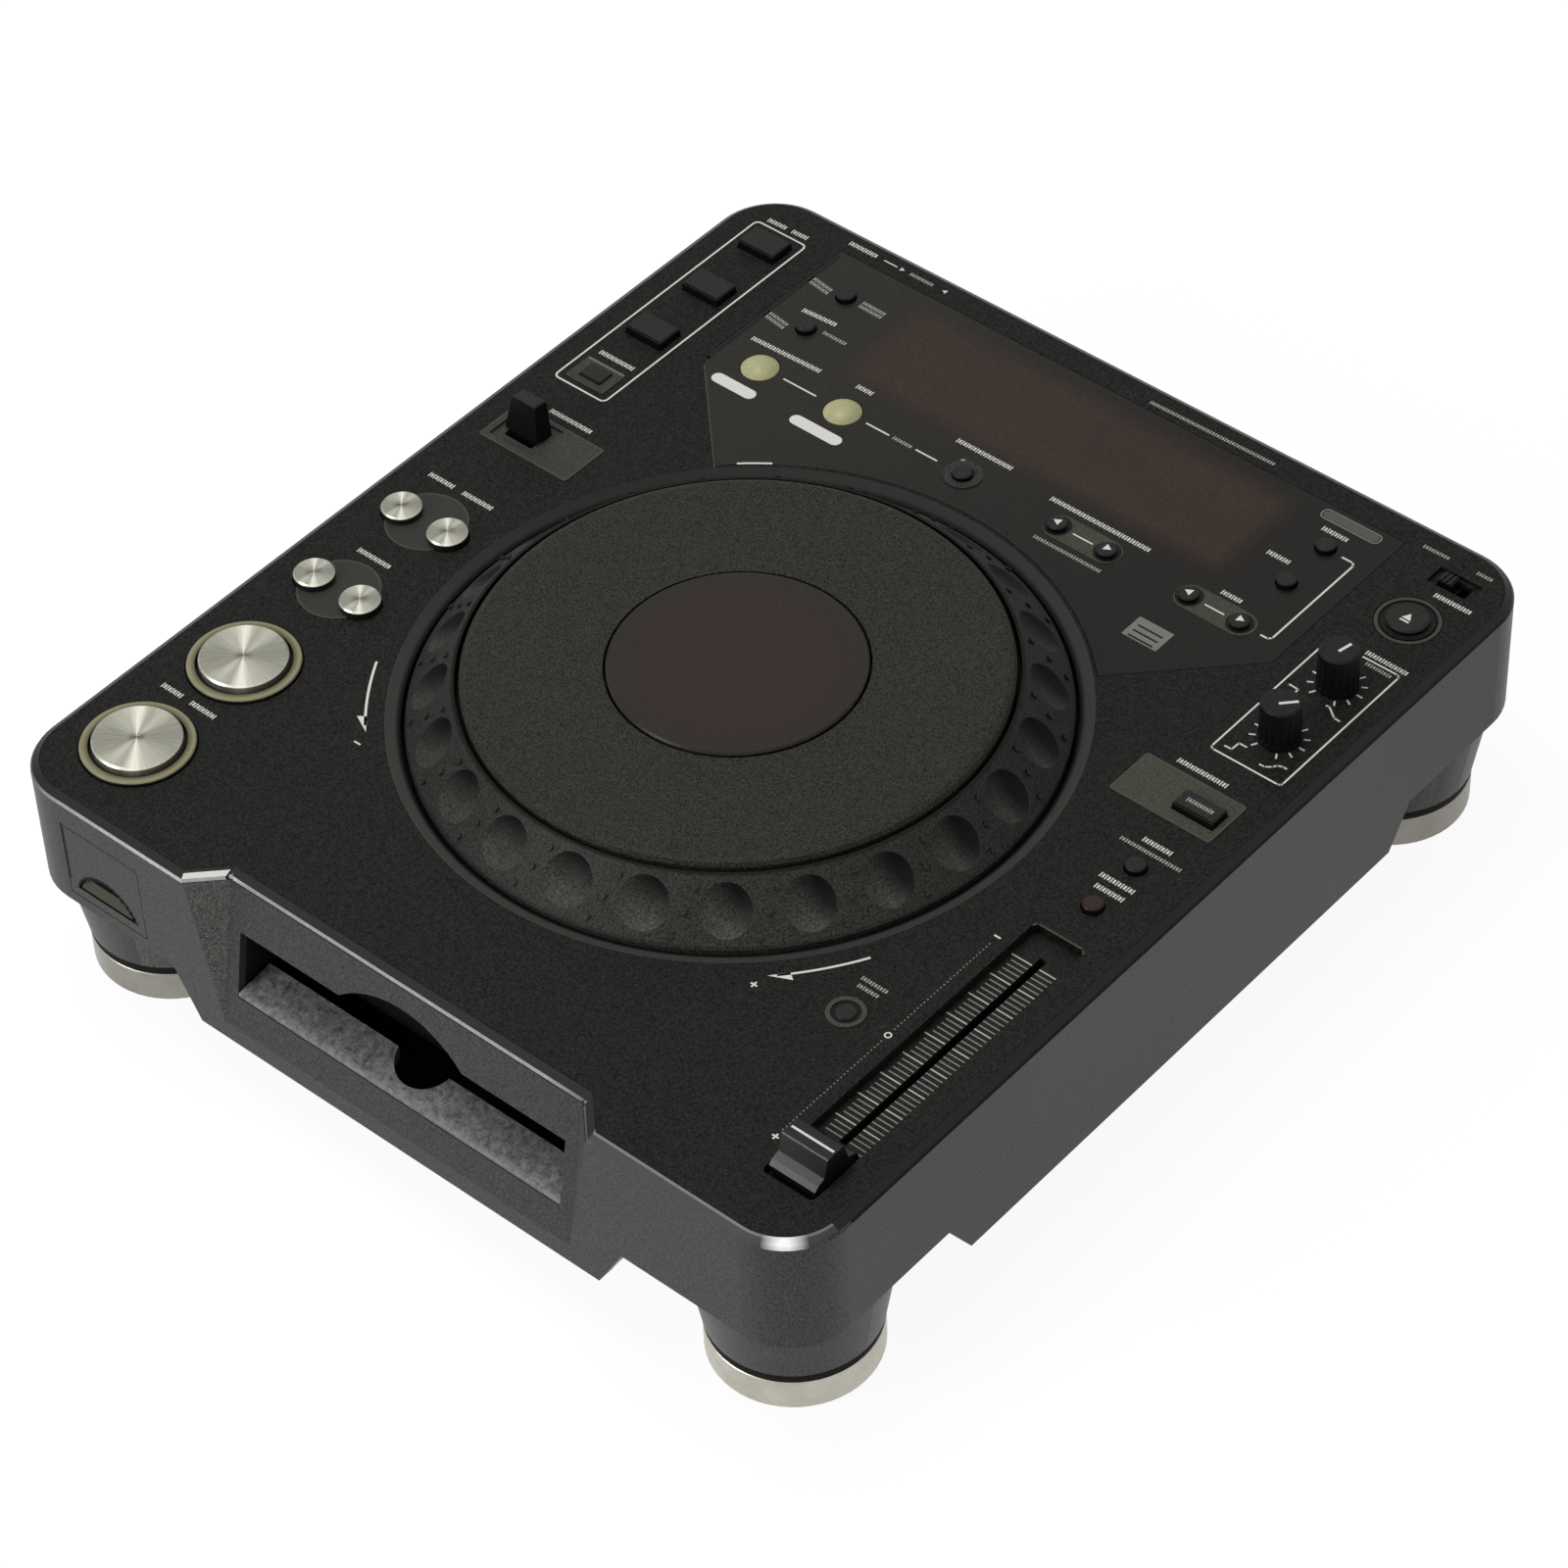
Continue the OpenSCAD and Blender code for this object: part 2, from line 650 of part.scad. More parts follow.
module top_panel() color([0.13, 0.13, 0.13]) {
    g = wall + panel_gap;
    difference() {
        union() {
            slab(case_w - 2 * g, case_d - 2 * g, corner_r - g, under, case_h);
            // bosses for the boards
            for (s = [-1, 1], y = [jog_y - boss_front, jog_y + boss_rear])
                rod(s * (half_w - boss_side), y, boss_r, board_z + board_t, under + eps);
            for (s = [-1, 1]) rod(s * disp_w / 3, disp_y - disp_l / 2 - boss_r - 0.8, boss_r,
                board_z + board_t, under + eps);
        }
        front_wedge(g);
        rod(0, jog_y, well_r, under - 1, case_h + 1);
        translate([0, jog_y, well_lip])
            cylinder(r1 = well_r, r2 = well_bevel_r, h = well_bevel_h + eps);
        // ledge for the clear panel and the hole for the display
        translate([0, 0, case_h - glass_t]) linear_extrude(glass_t + 1) glass_plan(0);
        block(-disp_w / 2, disp_w / 2, disp_y - disp_l / 2, disp_y + disp_l / 2,
            under - 1, case_h);
        control_holes(under - 1, case_h + 1);
        // stepped ring round the eject button
        difference() {
            rod(right_x, eject_y, eject_r + 4.1, case_h - 0.8, case_h + 1);
            rod(right_x, eject_y, eject_r + 1.8, case_h - 1, case_h + 2);
        }
        // lock switch dish
        block(lock_x - 8, lock_x + 8, lock_y - 4, lock_y + 4, case_h - 1.4, case_h + 1);
        // holes for the two plates, which hang on a ledge
        for (s = [-1, 1]) {
            translate([s * plate_x, plate_y, case_h - 1.6])
                linear_extrude(3) plan(plate_w, plate_l, 1.5);
            translate([s * plate_x, plate_y, under - 1])
                linear_extrude(panel_t + 2) plan(plate_w - 4, plate_l - 4, 1);
        }
        // fader trough
        translate([fader_x, fader_y, under - 1])
            linear_extrude(panel_t + 2) plan(trough_w, trough_l, 2);
    }
}

// plan of the clear panel, outside the jog
module glass_plan(shrink) {
    h = glass_half - shrink;
    back = glass_rear - shrink;
    side = glass_side + shrink * (sqrt(2) - 1);
    difference() {
        polygon([[-h, back], [h, back], [h, side], [h - side + jog_y, jog_y],
            [-h + side - jog_y, jog_y], [-h, side]]);
        translate([0, jog_y]) circle(well_bevel_r + 1.2 + shrink);
    }
}

module display_window() color([0.16, 0.12, 0.11]) {
    difference() {
        translate([0, 0, case_h - glass_t]) linear_extrude(glass_t) glass_plan(glass_gap);
        control_holes(case_h - glass_t - 1, case_h + 1);
    }
}

module display_module() color([0.2, 0.09, 0.07]) {
    w = disp_w - 1;
    l = disp_l - 1;
    top = case_h - glass_t - 0.4;
    block(-w / 2, w / 2, disp_y - l / 2, disp_y + l / 2, board_z + board_t, top);
}

module bottom_pan() color([0.3, 0.3, 0.31]) {
    difference() {
        pan_body(0);
        pan_body(pan_t);
        // cooling slots
        for (i = [-4:4])
            block(i * 9 - 2, i * 9 + 2, half_d - 120, half_d - 50, pan_z - 1, pan_z + 3);
    }
    // pillars for the drive and the supply
    for (sx = [-1, 1], y = [drive_front + 12, drive_rear - 12])
        rod(sx * (drive_half - 8), y, 4, pan_z + pan_t - eps, drive_lo);
    for (x = [supply_x + 8, supply_x + supply_w - 8],
            y = [supply_y - supply_l + 8, supply_y - 8])
        rod(x, y, 3, pan_z + pan_t - eps, supply_z);
}

module pan_body(t) {
    b = block_half - t;
    s = belly_half - t;
    l = skirt_lean;
    up = t > 0 ? 1 : 0;
    kb = (pan_z - block_z) / (wall_z - block_z) * l;
    ks = (pan_z - belly_z) / (wall_z - belly_z) * l;
    along_y(-half_d + skirt_t + t + 0.1, half_d - wall - t - 0.1)
        polygon([[-b - l, wall_z + up], [b + l, wall_z + up], [b + kb, pan_z + t],
            [-b - kb, pan_z + t]]);
    along_x(-half_w + wall + t + 0.1, half_w - wall - t - 0.1)
        polygon([[-s - l, wall_z + up], [s + l, wall_z + up], [s + ks, pan_z + t],
            [-s - ks, pan_z + t]]);
}

module rear_panel() color([0.12, 0.12, 0.12]) {
    g = panel_gap;
    difference() {
        union() {
            block(-rear_half + g, rear_half - g, rear_face - 2, half_d - wall + 1,
                rear_lo + g, rear_hi - g);
            // flange behind the wall
            intersection() {
                block(-rear_half - 4, rear_half + 4, half_d - wall - 2, half_d - wall,
                    rear_lo - 3, rear_hi + 3);
                slab(case_w - 2 * wall, case_d - 2 * wall, corner_r - wall, rear_lo - 4,
                    rear_hi + 4);
            }
        }
        block(-rear_half + 2.2, rear_half - 2.2, rear_face, half_d + 1, rear_lo + 2.2,
            rear_hi - 2.2);
        // rocker hole with its two pin holes
        block(rocker_x - rocker_w / 2 - 0.4, rocker_x + rocker_w / 2 + 0.4, rear_face - 3,
            rear_face + 1, rocker_z - rocker_h / 2 - 1.2, rocker_z + rocker_h / 2 + 1.2);
        for (j = jack_at()) translate([j[0], rear_face + 1, j[1]]) rotate([90, 0, 0])
            cylinder(r = 4.2, h = 4);
    }
    // bracket that holds the rocker's pin
    for (s = [-1, 1]) difference() {
        block(rocker_x + s * (rocker_w / 2 + 2.4) - 1.6,
            rocker_x + s * (rocker_w / 2 + 2.4) + 1.6, rear_face - 9, rear_face - 2 + eps,
            rocker_z - 4, rocker_z + 4);
        along_x(rocker_x - 20, rocker_x + 20) translate([rear_face - 5, rocker_z])
            circle(1.5 + pin_play);
    }
}

// two pairs of jacks: x and z
function jack_at() = [for (d = [0, jack_pair], e = [0, jack_pitch])
    [-rear_half + jack_end + d + e, rocker_z]];

module rear_jacks() color([0.75, 0.75, 0.72]) {
    for (j = jack_at()) translate([j[0], rear_face - 6, j[1]]) rotate([-90, 0, 0])
        difference() {
            union() {
                cylinder(r = 4.2, h = rear_dip + 4.4);
                cylinder(r = 7, h = 4);
            }
            translate([0, 0, 5]) cylinder(r = 1.7, h = 9);
        }
    // two pin mains inlet
    difference() {
        block(inlet_x - 13, inlet_x + 13, rear_face, rear_face + 7, rocker_z - 7,
            rocker_z + 7);
        along_y(rear_face + 1, rear_face + 8) {
            for (s = [-1, 1]) translate([inlet_x + s * 4.3, rocker_z]) circle(4.2);
            translate([inlet_x, rocker_z]) square([8.6, 8.4], center = true);
        }
    }
    for (s = [-1, 1]) translate([inlet_x + s * 4.3, rear_face + 0.9, rocker_z])
        rotate([-90, 0, 0]) cylinder(r = 1.2, h = 5.6);
}

module foot_rings() color([0.86, 0.84, 0.78]) {
    for (f = foot_at) translate([f[0] * foot_x, f[1] * foot_y, 0.3]) difference() {
        union() {
            cylinder(r1 = foot_r - 0.8, r2 = foot_r, h = 0.8);
            translate([0, 0, 0.8 - eps]) cylinder(r = foot_r, h = foot_h - 1.6 + eps);
            translate([0, 0, foot_h - 0.8 - eps])
                cylinder(r1 = foot_r, r2 = foot_r - 0.5, h = 0.5 + eps);
        }
        translate([0, 0, -1]) cylinder(r = core_r, h = foot_h + 2);
    }
}

module foot_cores() color([0.06, 0.06, 0.06]) {
    for (f = foot_at) translate([f[0] * foot_x, f[1] * foot_y, 0]) {
        cylinder(r = core_r, h = pod_z);
        translate([0, 0, foot_h]) cylinder(r = collar_r, h = pod_z - foot_h);
    }
}

// ---------------------------------------------------------------- disc way

module front_liners() color([0.06, 0.06, 0.06]) {
    slot_liner();
    card_liner();
}

// box behind the card door: a pocket for finger tips, and the slot for the card
module card_liner() {
    difference() {
        block(door_x - 3, door_x + door_w + 3, -half_d + wall + 0.1, -half_d + wall + 9,
            door_lo - 1.8, door_hi + 1);
        block(door_x + 1.5, door_x + door_w - 1.5, -half_d, -half_d + wall + 7,
            door_lo + 1.5, hinge_z - 4);
        block(door_mid - 12.6, door_mid + 12.6, -half_d, -half_d + wall + 10,
            card_z - card_t / 2, card_z + card_t / 2);
    }
}

module slot_liner() {
    t = 2.4;
    difference() {
        along_y(-half_d + wall + 0.1, mouth_rear) slot_shape(t);
        front_wedge(wall + 0.15);
        along_y(-half_d, mouth_rear - 3) slot_shape(0);
        block(-disc_half, disc_half, mouth_rear - 4, mouth_rear + 1, disc_lo,
            disc_lo + disc_gap);
        // room for the cabinet floor and the lip's feet
        block(-slot_half - 9, slot_half + 9, -half_d, mouth_rear - 3, slot_lo - 9,
            slot_lo + eps);
    }
}

module slot_lip() color([0.62, 0.62, 0.61]) {
    y0 = lip_front;
    y1 = lip_front + lip_d;
    lo = slot_lo + 0.05;
    h = slot_half - 0.15;
    k = 1.5;
    difference() {
        along_x(-h, h) polygon([[y0, lo], [y1, lo], [y1, lo + 1.6 + lip_rise],
            [y0 + 0.3, lo + 1.6], [y0, lo + 1.3]]);
        // the lip narrows toward the slot
        for (s = [-1, 1]) translate([s * h, y0, lo - 1]) rotate([0, 0, s * atan(k / lip_d)])
            translate([s > 0 ? 0 : -20, -2, 0]) cube([20, lip_d + 8, 20]);
        rod(0, y1 + 2, notch_r, lo - 1, lo + 20);
    }
}

module drive_frame() color([0.55, 0.56, 0.58]) {
    h = drive_half;
    w = 2;
    difference() {
        block(-h, h, drive_front + 0.1, drive_rear, drive_lo, drive_hi);
        block(-h + w, h - w, drive_front - 1, drive_rear - w, drive_lo + w, drive_hi - w);
        along_x(-h - 1, h + 1) translate([roller_y, roller_z]) circle(2 + pin_play);
        rod(0, hub_y, 2 + pin_play, drive_lo - 1, drive_lo + 9);
        block(-9, 9, sled_front, drive_rear - 10, drive_lo - 1, drive_lo + w + 1);
        block(-h + 12, h - 12, hub_y + 20, drive_rear - 14, drive_hi - w - 1, drive_hi + 1);
    }
    difference() {
        rod(0, hub_y, 7, drive_lo + w - eps, drive_lo + 5);
        rod(0, hub_y, 2 + pin_play, drive_lo - 1, drive_lo + 9);
    }
    // rails of the pickup, and the walls that hold their front ends
    for (s = [-1, 1]) {
        along_y(sled_front - 4, drive_rear - w + eps)
            translate([s * rail_x, drive_lo + 5]) circle(1.5);
        block(s * rail_x - 3, s * rail_x + 3, sled_front - 6, sled_front - 3,
            drive_lo + w - eps, drive_lo + 7);
    }
}

module pickup_sled() color([0.35, 0.35, 0.37]) {
    difference() {
        block(-sled_w / 2, sled_w / 2, sled_front, sled_front + sled_l, sled_z,
            sled_z + sled_h);
        for (s = [-1, 1]) along_y(hub_y, drive_rear)
            translate([s * rail_x, drive_lo + 5]) circle(1.5 + pin_play);
    }
    rod(0, sled_front + sled_l / 2, 3.2, sled_z + sled_h - eps, sled_z + sled_h + 1.4);
}

module feed_roller() color([0.1, 0.1, 0.1]) {
    along_x(-drive_half + 4, drive_half - 4) translate([roller_y, roller_z])
        circle(roller_r);
    along_x(-drive_half - 0.6, drive_half + 0.6) translate([roller_y, roller_z]) circle(2);
}

module disc_hub() color([0.7, 0.7, 0.72]) {
    rod(0, hub_y, 2, drive_lo - 2, disc_lo - 3);
    rod(0, hub_y, hub_r, drive_lo + 5.6, disc_lo - 1.4);
    translate([0, hub_y, disc_lo - 1.4 - eps]) cylinder(r1 = 7.4, r2 = 6.6, h = 1);
}

module power_supply() color([0.2, 0.34, 0.22]) {
    x = supply_x;
    y = supply_y;
    z = supply_z;
    foot = z + 1.5;
    block(x, x + supply_w, y - supply_l, y, z, z + 1.6);
    // transformer, two pairs of capacitors, filter choke and heat sink
    block(x + 4, x + 54, y - 58, y - 8, foot, z + tall_part_h);
    for (dx = [66, 84], dy = [24, 48]) rod(x + dx, y - dy, 7, foot, z + tall_part_h - 2);
    block(x + 8, x + 44, y - supply_l + 12, y - supply_l + 24, foot, z + 18);
    for (i = [0:3]) block(x + 60 + i * 9, x + 64 + i * 9, y - supply_l + 12,
        y - supply_l + 38, foot, z + tall_part_h / 2);
}

module key_board() color([0.18, 0.3, 0.2]) {
    difference() {
        block(-half_w + 7, half_w - 7, -half_d + 18, half_d - 14, board_z,
            board_z + board_t);
        rod(0, jog_y, well_bevel_r + 1, board_z - 1, board_z + 3);
        block(-well_bevel_r, well_bevel_r, -half_d, jog_y, board_z - 1, board_z + 3);
        for (f = foot_at) rod(f[0] * post_x, f[1] * post_y, post_w + 1.5, board_z - 1,
            board_z + 3);
        block(fader_x - 4.5, fader_x + 4.5, fader_y - trough_l / 2, fader_y + trough_l / 2,
            board_z - 1, board_z + 3);
        block(-half_w, door_x + door_w + 6, -half_d, -half_d + 26, board_z - 1, board_z + 3);
    }
}

// ---------------------------------------------------------------- plates

module lever_plate() color([0.45, 0.45, 0.42]) {
    z = case_h - 1.6;
    difference() {
        union() {
            translate([-plate_x, plate_y, z]) linear_extrude(1.8)
                plan(plate_w - 0.3, plate_l - 0.3, 1.4);
            // cheeks that hold the lever's pins
            for (s = [-1, 1])
                block(lever_x + s * (lever_stem_w / 2 + 2.2) - 1.6,
                    lever_x + s * (lever_stem_w / 2 + 2.2) + 1.6, lever_slot_y - 4,
                    lever_slot_y + 4, lever_z - 3.6, z + eps);
        }
        block(lever_x - lever_stem_w / 2 - 0.6, lever_x + lever_stem_w / 2 + 0.6,
            lever_slot_y - lever_stem_l / 2 - 1.9, lever_slot_y + lever_stem_l / 2 + 1.9,
            lever_z - 8, z + 3);
        // shallow recess the lever swings in
        block(lever_x - lever_slot_w / 2, lever_x + lever_slot_w / 2,
            lever_slot_y - lever_slot_l / 2, lever_slot_y + lever_slot_l / 2,
            z + 0.9, z + 3);
        along_x(lever_x - 12, lever_x + 12) translate([lever_slot_y, lever_z])
            circle(lever_pin + pin_play);
    }
}

module mode_plate() color([0.42, 0.42, 0.37]) {
    z = case_h - 1.6;
    difference() {
        translate([plate_x, plate_y, z]) linear_extrude(1.8)
            plan(plate_w - 0.3, plate_l - 0.3, 1.4);
        block(mode_x - mode_w / 2 - key_gap, mode_x + mode_w / 2 + key_gap,
            mode_y - mode_l / 2 - key_gap, mode_y + mode_l / 2 + key_gap, z - 1, z + 3);
    }
}

module fader_plate() color([0.1, 0.1, 0.1]) {
    difference() {
        block(fader_x - trough_w / 2 - 2, fader_x + trough_w / 2 + 2,
            fader_y - trough_l / 2 - 2, fader_y + trough_l / 2 + 2, under - 2, under);
        block(fader_x - 1.3, fader_x + 1.3, fader_y - fader_half - 4,
            fader_y + fader_half + 4, under - 3, under + 1);
    }
    // slide body under the trough
    difference() {
        block(fader_x - 4, fader_x + 4, fader_y - fader_half - 8, fader_y + fader_half + 8,
            under - 10, under - 2 + eps);
        block(fader_x - 2.6, fader_x + 2.6, fader_y - fader_half - 5,
            fader_y + fader_half + 5, under - 8.5, under - 1);
    }
}

// ---------------------------------------------------------------- jog

module jog_post() color([0.05, 0.05, 0.05]) {
    b = bucket_z;
    t = plate_top - 1.2;
    translate([0, jog_y, 0]) rotate_extrude()
        polygon([[0, t - 4], [0, t], [window_r, t], [window_r, t - 6], [post_r, t - 6],
            [post_r, b + 2], [well_r + 1.4, b + 2], [well_r + 1.4, under],
            [well_r + 3.8, under], [well_r + 3.8, b], [post_r - 3, b],
            [post_r - 3, t - 4]]);
    rod(0, wheel_y, 1.5, b + 1.9, b + 11);
}

module jog_window() color([0.22, 0.13, 0.12]) {
    t = plate_top - 1.2;
    translate([0, jog_y, t]) {
        cylinder(r = window_r, h = 1.4);
        translate([0, 0, 1.4 - eps]) cylinder(r1 = window_r, r2 = window_r - 0.6,
            h = 0.6 + eps);
    }
}

module jog_plate() color([0.24, 0.24, 0.22]) {
    h = window_r + 0.9;
    p = plate_top;
    w = p - 10;
    b = bucket_z + 8;
    translate([0, jog_y, 0]) rotate_extrude()
        polygon([[post_r + dial_play, b], [post_r + 3.5, b], [post_r + 3.5, w],
            [h + 2, w], [h + 2, p - 2.8], [plate_r - 2, p - 2.8], [plate_r - 2, w],
            [plate_r, w], [plate_r, p - 1.8], [plate_r - 0.8, p - 0.6],
            [plate_r - 2.4, p], [h, p], [h, w + 2], [post_r + dial_play, w + 2]]);
}

module jog_ring() color([0.3, 0.31, 0.3]) {
    w = plate_top - 10;
    b = bucket_z + 9;
    o = dial_r;
    i = dial_in_r - 0.9;
    s = skirt_w;
    translate([0, jog_y, 0]) {
        difference() {
            rotate_extrude()
                polygon([[o, b], [o, dial_z - 0.6], [o - 0.6, dial_z + 0.2],
                    [dial_in_r, ring_top], [i, ring_top], [i, w], [plate_r - 1.2, w],
                    [plate_r - 1.2, w - 2], [s - 8, w - 2], [s, w - 10], [s, b]]);
            for (k = [0:dimples - 1]) rotate([0, 0, dimple_turn + k * 360 / dimples])
                translate([mid_r + nx * (dimple_ball - dimple_h), 0,
                    mid_z + nz * (dimple_ball - dimple_h)]) sphere(dimple_ball);
        }
        for (k = [0:dimples - 1], j = [-1, 0, 1])
            rotate([0, 0, dimple_turn + (k + 0.5) * 360 / dimples - j * pip_lean])
                translate([mid_r + 0.6 + j * 5.1 - nx * 1.5, 0,
                    mid_z - (0.6 + j * 5.1) * nx / nz - nz * 1.5])
                    rotate([0, atan2(nx, nz), 0]) cylinder(r1 = pip_r, r2 = pip_r - 0.3,
                        h = 1.5 + pip_h);
    }
}

module jog_encoder() color([0.8, 0.8, 0.78]) {
    b = bucket_z + 4;
    difference() {
        union() {
            rod(0, wheel_y, wheel_r, b + 5.4, b + 9);
            rod(0, wheel_y, 3.4, b, b + 6);
        }
        rod(0, wheel_y, 1.5 + pin_play, b - 1, b + 10);
        for (k = [0:5]) translate([0, wheel_y, b]) rotate([0, 0, k * 60])
            translate([5.4, 0, 0]) cylinder(r = 1.3, h = 12);
    }
}

// ---------------------------------------------------------------- buttons

module round_key(x, y, r, rise, bevel) {
    top = case_h + rise;
    rod(x, y, r, key_foot, top - bevel);
    translate([x, y, top - bevel - eps]) cylinder(r1 = r, r2 = r - bevel, h = bevel + eps);
    rod(x, y, r + lug_w, lug_top - lug_t, lug_top);
}

module dome_key(x, y, r, rise) {
    ball = (r * r + rise * rise) / (2 * rise);
    rod(x, y, r, key_foot, case_h);
    intersection() {
        rod(x, y, r, case_h - 1, case_h + rise + 1);
        translate([x, y, case_h + rise - ball]) sphere(ball);
    }
    rod(x, y, r + lug_w, lug_top - lug_t, lug_top);
}

module box_key(x, y, w, l, rise, bevel) {
    top = case_h + rise;
    block(x - w / 2, x + w / 2, y - l / 2, y + l / 2, key_foot, top - bevel);
    translate([x, y, top - bevel]) rotate([90, 0, 0]) translate([0, 0, -l / 2 + bevel])
        linear_extrude(l - 2 * bevel)
            polygon([[-w / 2, 0], [w / 2, 0], [w / 2 - bevel, bevel],
                [-w / 2 + bevel, bevel]]);
    block(x - w / 2 - lug_w, x + w / 2 + lug_w, y - l / 2 - lug_w, y + l / 2 + lug_w,
        lug_top - lug_t, lug_top);
}

module small_key(i, rise) {
    round_key(small_keys[i][0], small_keys[i][1], key_r, rise, 0.4);
}

module silver_key(x, y) { round_key(x, y, pair_r, 2.9, 0.5); }

// a low light ring, with a groove round the silver cap let into it
module big_ring(y) {
    low = case_h + halo_rise - 0.6;
    difference() {
        union() {
            rod(left_x, y, halo_r, key_foot, low);
            translate([left_x, y, low - eps])
                cylinder(r1 = halo_r, r2 = halo_r - 0.6, h = 0.6 + eps);
            rod(left_x, y, halo_r + lug_w, lug_top - lug_t, lug_top);
        }
        rod(left_x, y, big_r + 0.1, case_h - 2, case_h + 4);
        rod(left_x, y, big_r + halo_gap, case_h - 1.5, case_h + 4);
    }
}

module big_cap(y) {
    high = case_h + big_rise - 0.6;
    rod(left_x, y, big_r, case_h - 2, high);
    translate([left_x, y, high - eps]) cylinder(r1 = big_r, r2 = big_r - 0.6, h = 0.6 + eps);
}

module hot_key(i) { box_key(hot_x, hot_y - i * hot_pitch, hot_w, hot_l, 3, 0.5); }

module hot_key_1() color([0.16, 0.16, 0.16]) hot_key(0);
module hot_key_2() color([0.16, 0.16, 0.16]) hot_key(1);
module hot_key_3() color([0.16, 0.16, 0.16]) hot_key(2);
module rec_key() color([0.16, 0.16, 0.16]) box_key(rec_x, rec_y, rec_w, rec_l, 1.2, 0.3);
module track_back() color([0.85, 0.85, 0.84]) silver_key(left_x - pair_w / 2, track_y);
module track_next() color([0.85, 0.85, 0.84]) silver_key(left_x + pair_w / 2, track_y);
module search_back() color([0.85, 0.85, 0.84]) silver_key(left_x - pair_w / 2, search_y);
module search_next() color([0.85, 0.85, 0.84]) silver_key(left_x + pair_w / 2, search_y);
module cue_cap() color([0.85, 0.85, 0.84]) big_cap(cue_y);
module cue_ring() color([0.75, 0.75, 0.6]) big_ring(cue_y);
module play_cap() color([0.85, 0.85, 0.84]) big_cap(play_y);
module play_ring() color([0.75, 0.75, 0.6]) big_ring(play_y);
module time_key() color([0.13, 0.13, 0.13]) small_key(0, key_rise);
module text_key() color([0.13, 0.13, 0.13]) small_key(1, key_rise);
module loop_in() color([0.88, 0.87, 0.7]) dome_key(in_x, row_y, loop_r, loop_rise);
module loop_out() color([0.88, 0.87, 0.7]) dome_key(out_x, row_y, loop_r, loop_rise);
module loop_exit() color([0.13, 0.13, 0.13]) small_key(2, key_rise);
module wave_back() color([0.13, 0.13, 0.13]) small_key(3, key_rise);
module wave_next() color([0.13, 0.13, 0.13]) small_key(4, key_rise);
module call_back() color([0.13, 0.13, 0.13]) small_key(5, key_rise);
module call_next() color([0.13, 0.13, 0.13]) small_key(6, key_rise);
module memory_key() color([0.13, 0.13, 0.13]) small_key(7, key_rise);
module delete_key() color([0.13, 0.13, 0.13]) small_key(8, key_rise);
module eject_key() color([0.13, 0.13, 0.13])
    round_key(right_x, eject_y, eject_r, 1.6, 0.5);
module mode_key() color([0.1, 0.1, 0.1]) box_key(mode_x, mode_y, mode_w, mode_l, 2.8, 0.5);
module range_key() color([0.13, 0.13, 0.13]) small_key(9, key_rise);
module keylock_key() color([0.3, 0.14, 0.13]) small_key(10, key_rise);
module reset_key() color([0.13, 0.13, 0.13]) small_key(11, reset_rise);

// ---------------------------------------------------------------- lever, knobs, sliders

// four sided block that narrows upward, round the z axis
module narrowing(w0, l0, z0, w1, l1, z1) {
    a = w0 / 2;
    b = l0 / 2;
    c = w1 / 2;
    d = l1 / 2;
    polyhedron(points = [[-a, -b, z0], [a, -b, z0], [a, b, z0], [-a, b, z0],
        [-c, -d, z1], [c, -d, z1], [c, d, z1], [-c, d, z1]],
        faces = [[0, 1, 2, 3], [7, 6, 5, 4], [4, 5, 1, 0], [5, 6, 2, 1], [6, 7, 3, 2],
        [7, 4, 0, 3]]);
}

module direction_lever() color([0.15, 0.15, 0.15]) {
    foot = case_h + 0.2 - lever_z;
    tip = case_h + lever_rise - lever_z;
    translate([lever_x, lever_slot_y, lever_z]) rotate([-lever_lean, 0, 0]) {
        narrowing(lever_w, lever_l, foot, lever_tip_w, lever_tip_l, tip - 0.6);
        narrowing(lever_tip_w, lever_tip_l, tip - 0.6 - eps, lever_tip_w - 1,
            lever_tip_l - 1, tip);
        block(-lever_stem_w / 2, lever_stem_w / 2, -lever_stem_l / 2, lever_stem_l / 2,
            0, foot + eps);
        along_x(-lever_stem_w / 2, lever_stem_w / 2) circle(3.2);
        along_x(-lever_stem_w / 2 - 3.6, lever_stem_w / 2 + 3.6) circle(lever_pin);
    }
}

module knob(y) {
    foot = case_h + 0.8;
    difference() {
        union() {
            translate([right_x, y, foot]) cylinder(r1 = knob_r, r2 = knob_r - 0.35,
                h = knob_h - 0.6);
            translate([right_x, y, foot + knob_h - 0.6 - eps])
                cylinder(r1 = knob_r - 0.35, r2 = knob_r - 0.95, h = 0.6 + eps);
            rod(right_x, y, 3, case_h - 10, foot + 1);
            rod(right_x, y, 4.6, lug_top - lug_t, lug_top);
        }
        for (k = [0:17]) translate([right_x, y, foot + 1]) rotate([0, 0, 10 + k * 20])
            translate([knob_r + 0.35, 0, 0]) cylinder(r = 0.8, h = knob_h + 1, $fn = 16);
    }
}

module knob_touch() color([0.1, 0.1, 0.1]) knob(knob_hi_y);
module knob_release() color([0.1, 0.1, 0.1]) knob(knob_lo_y);

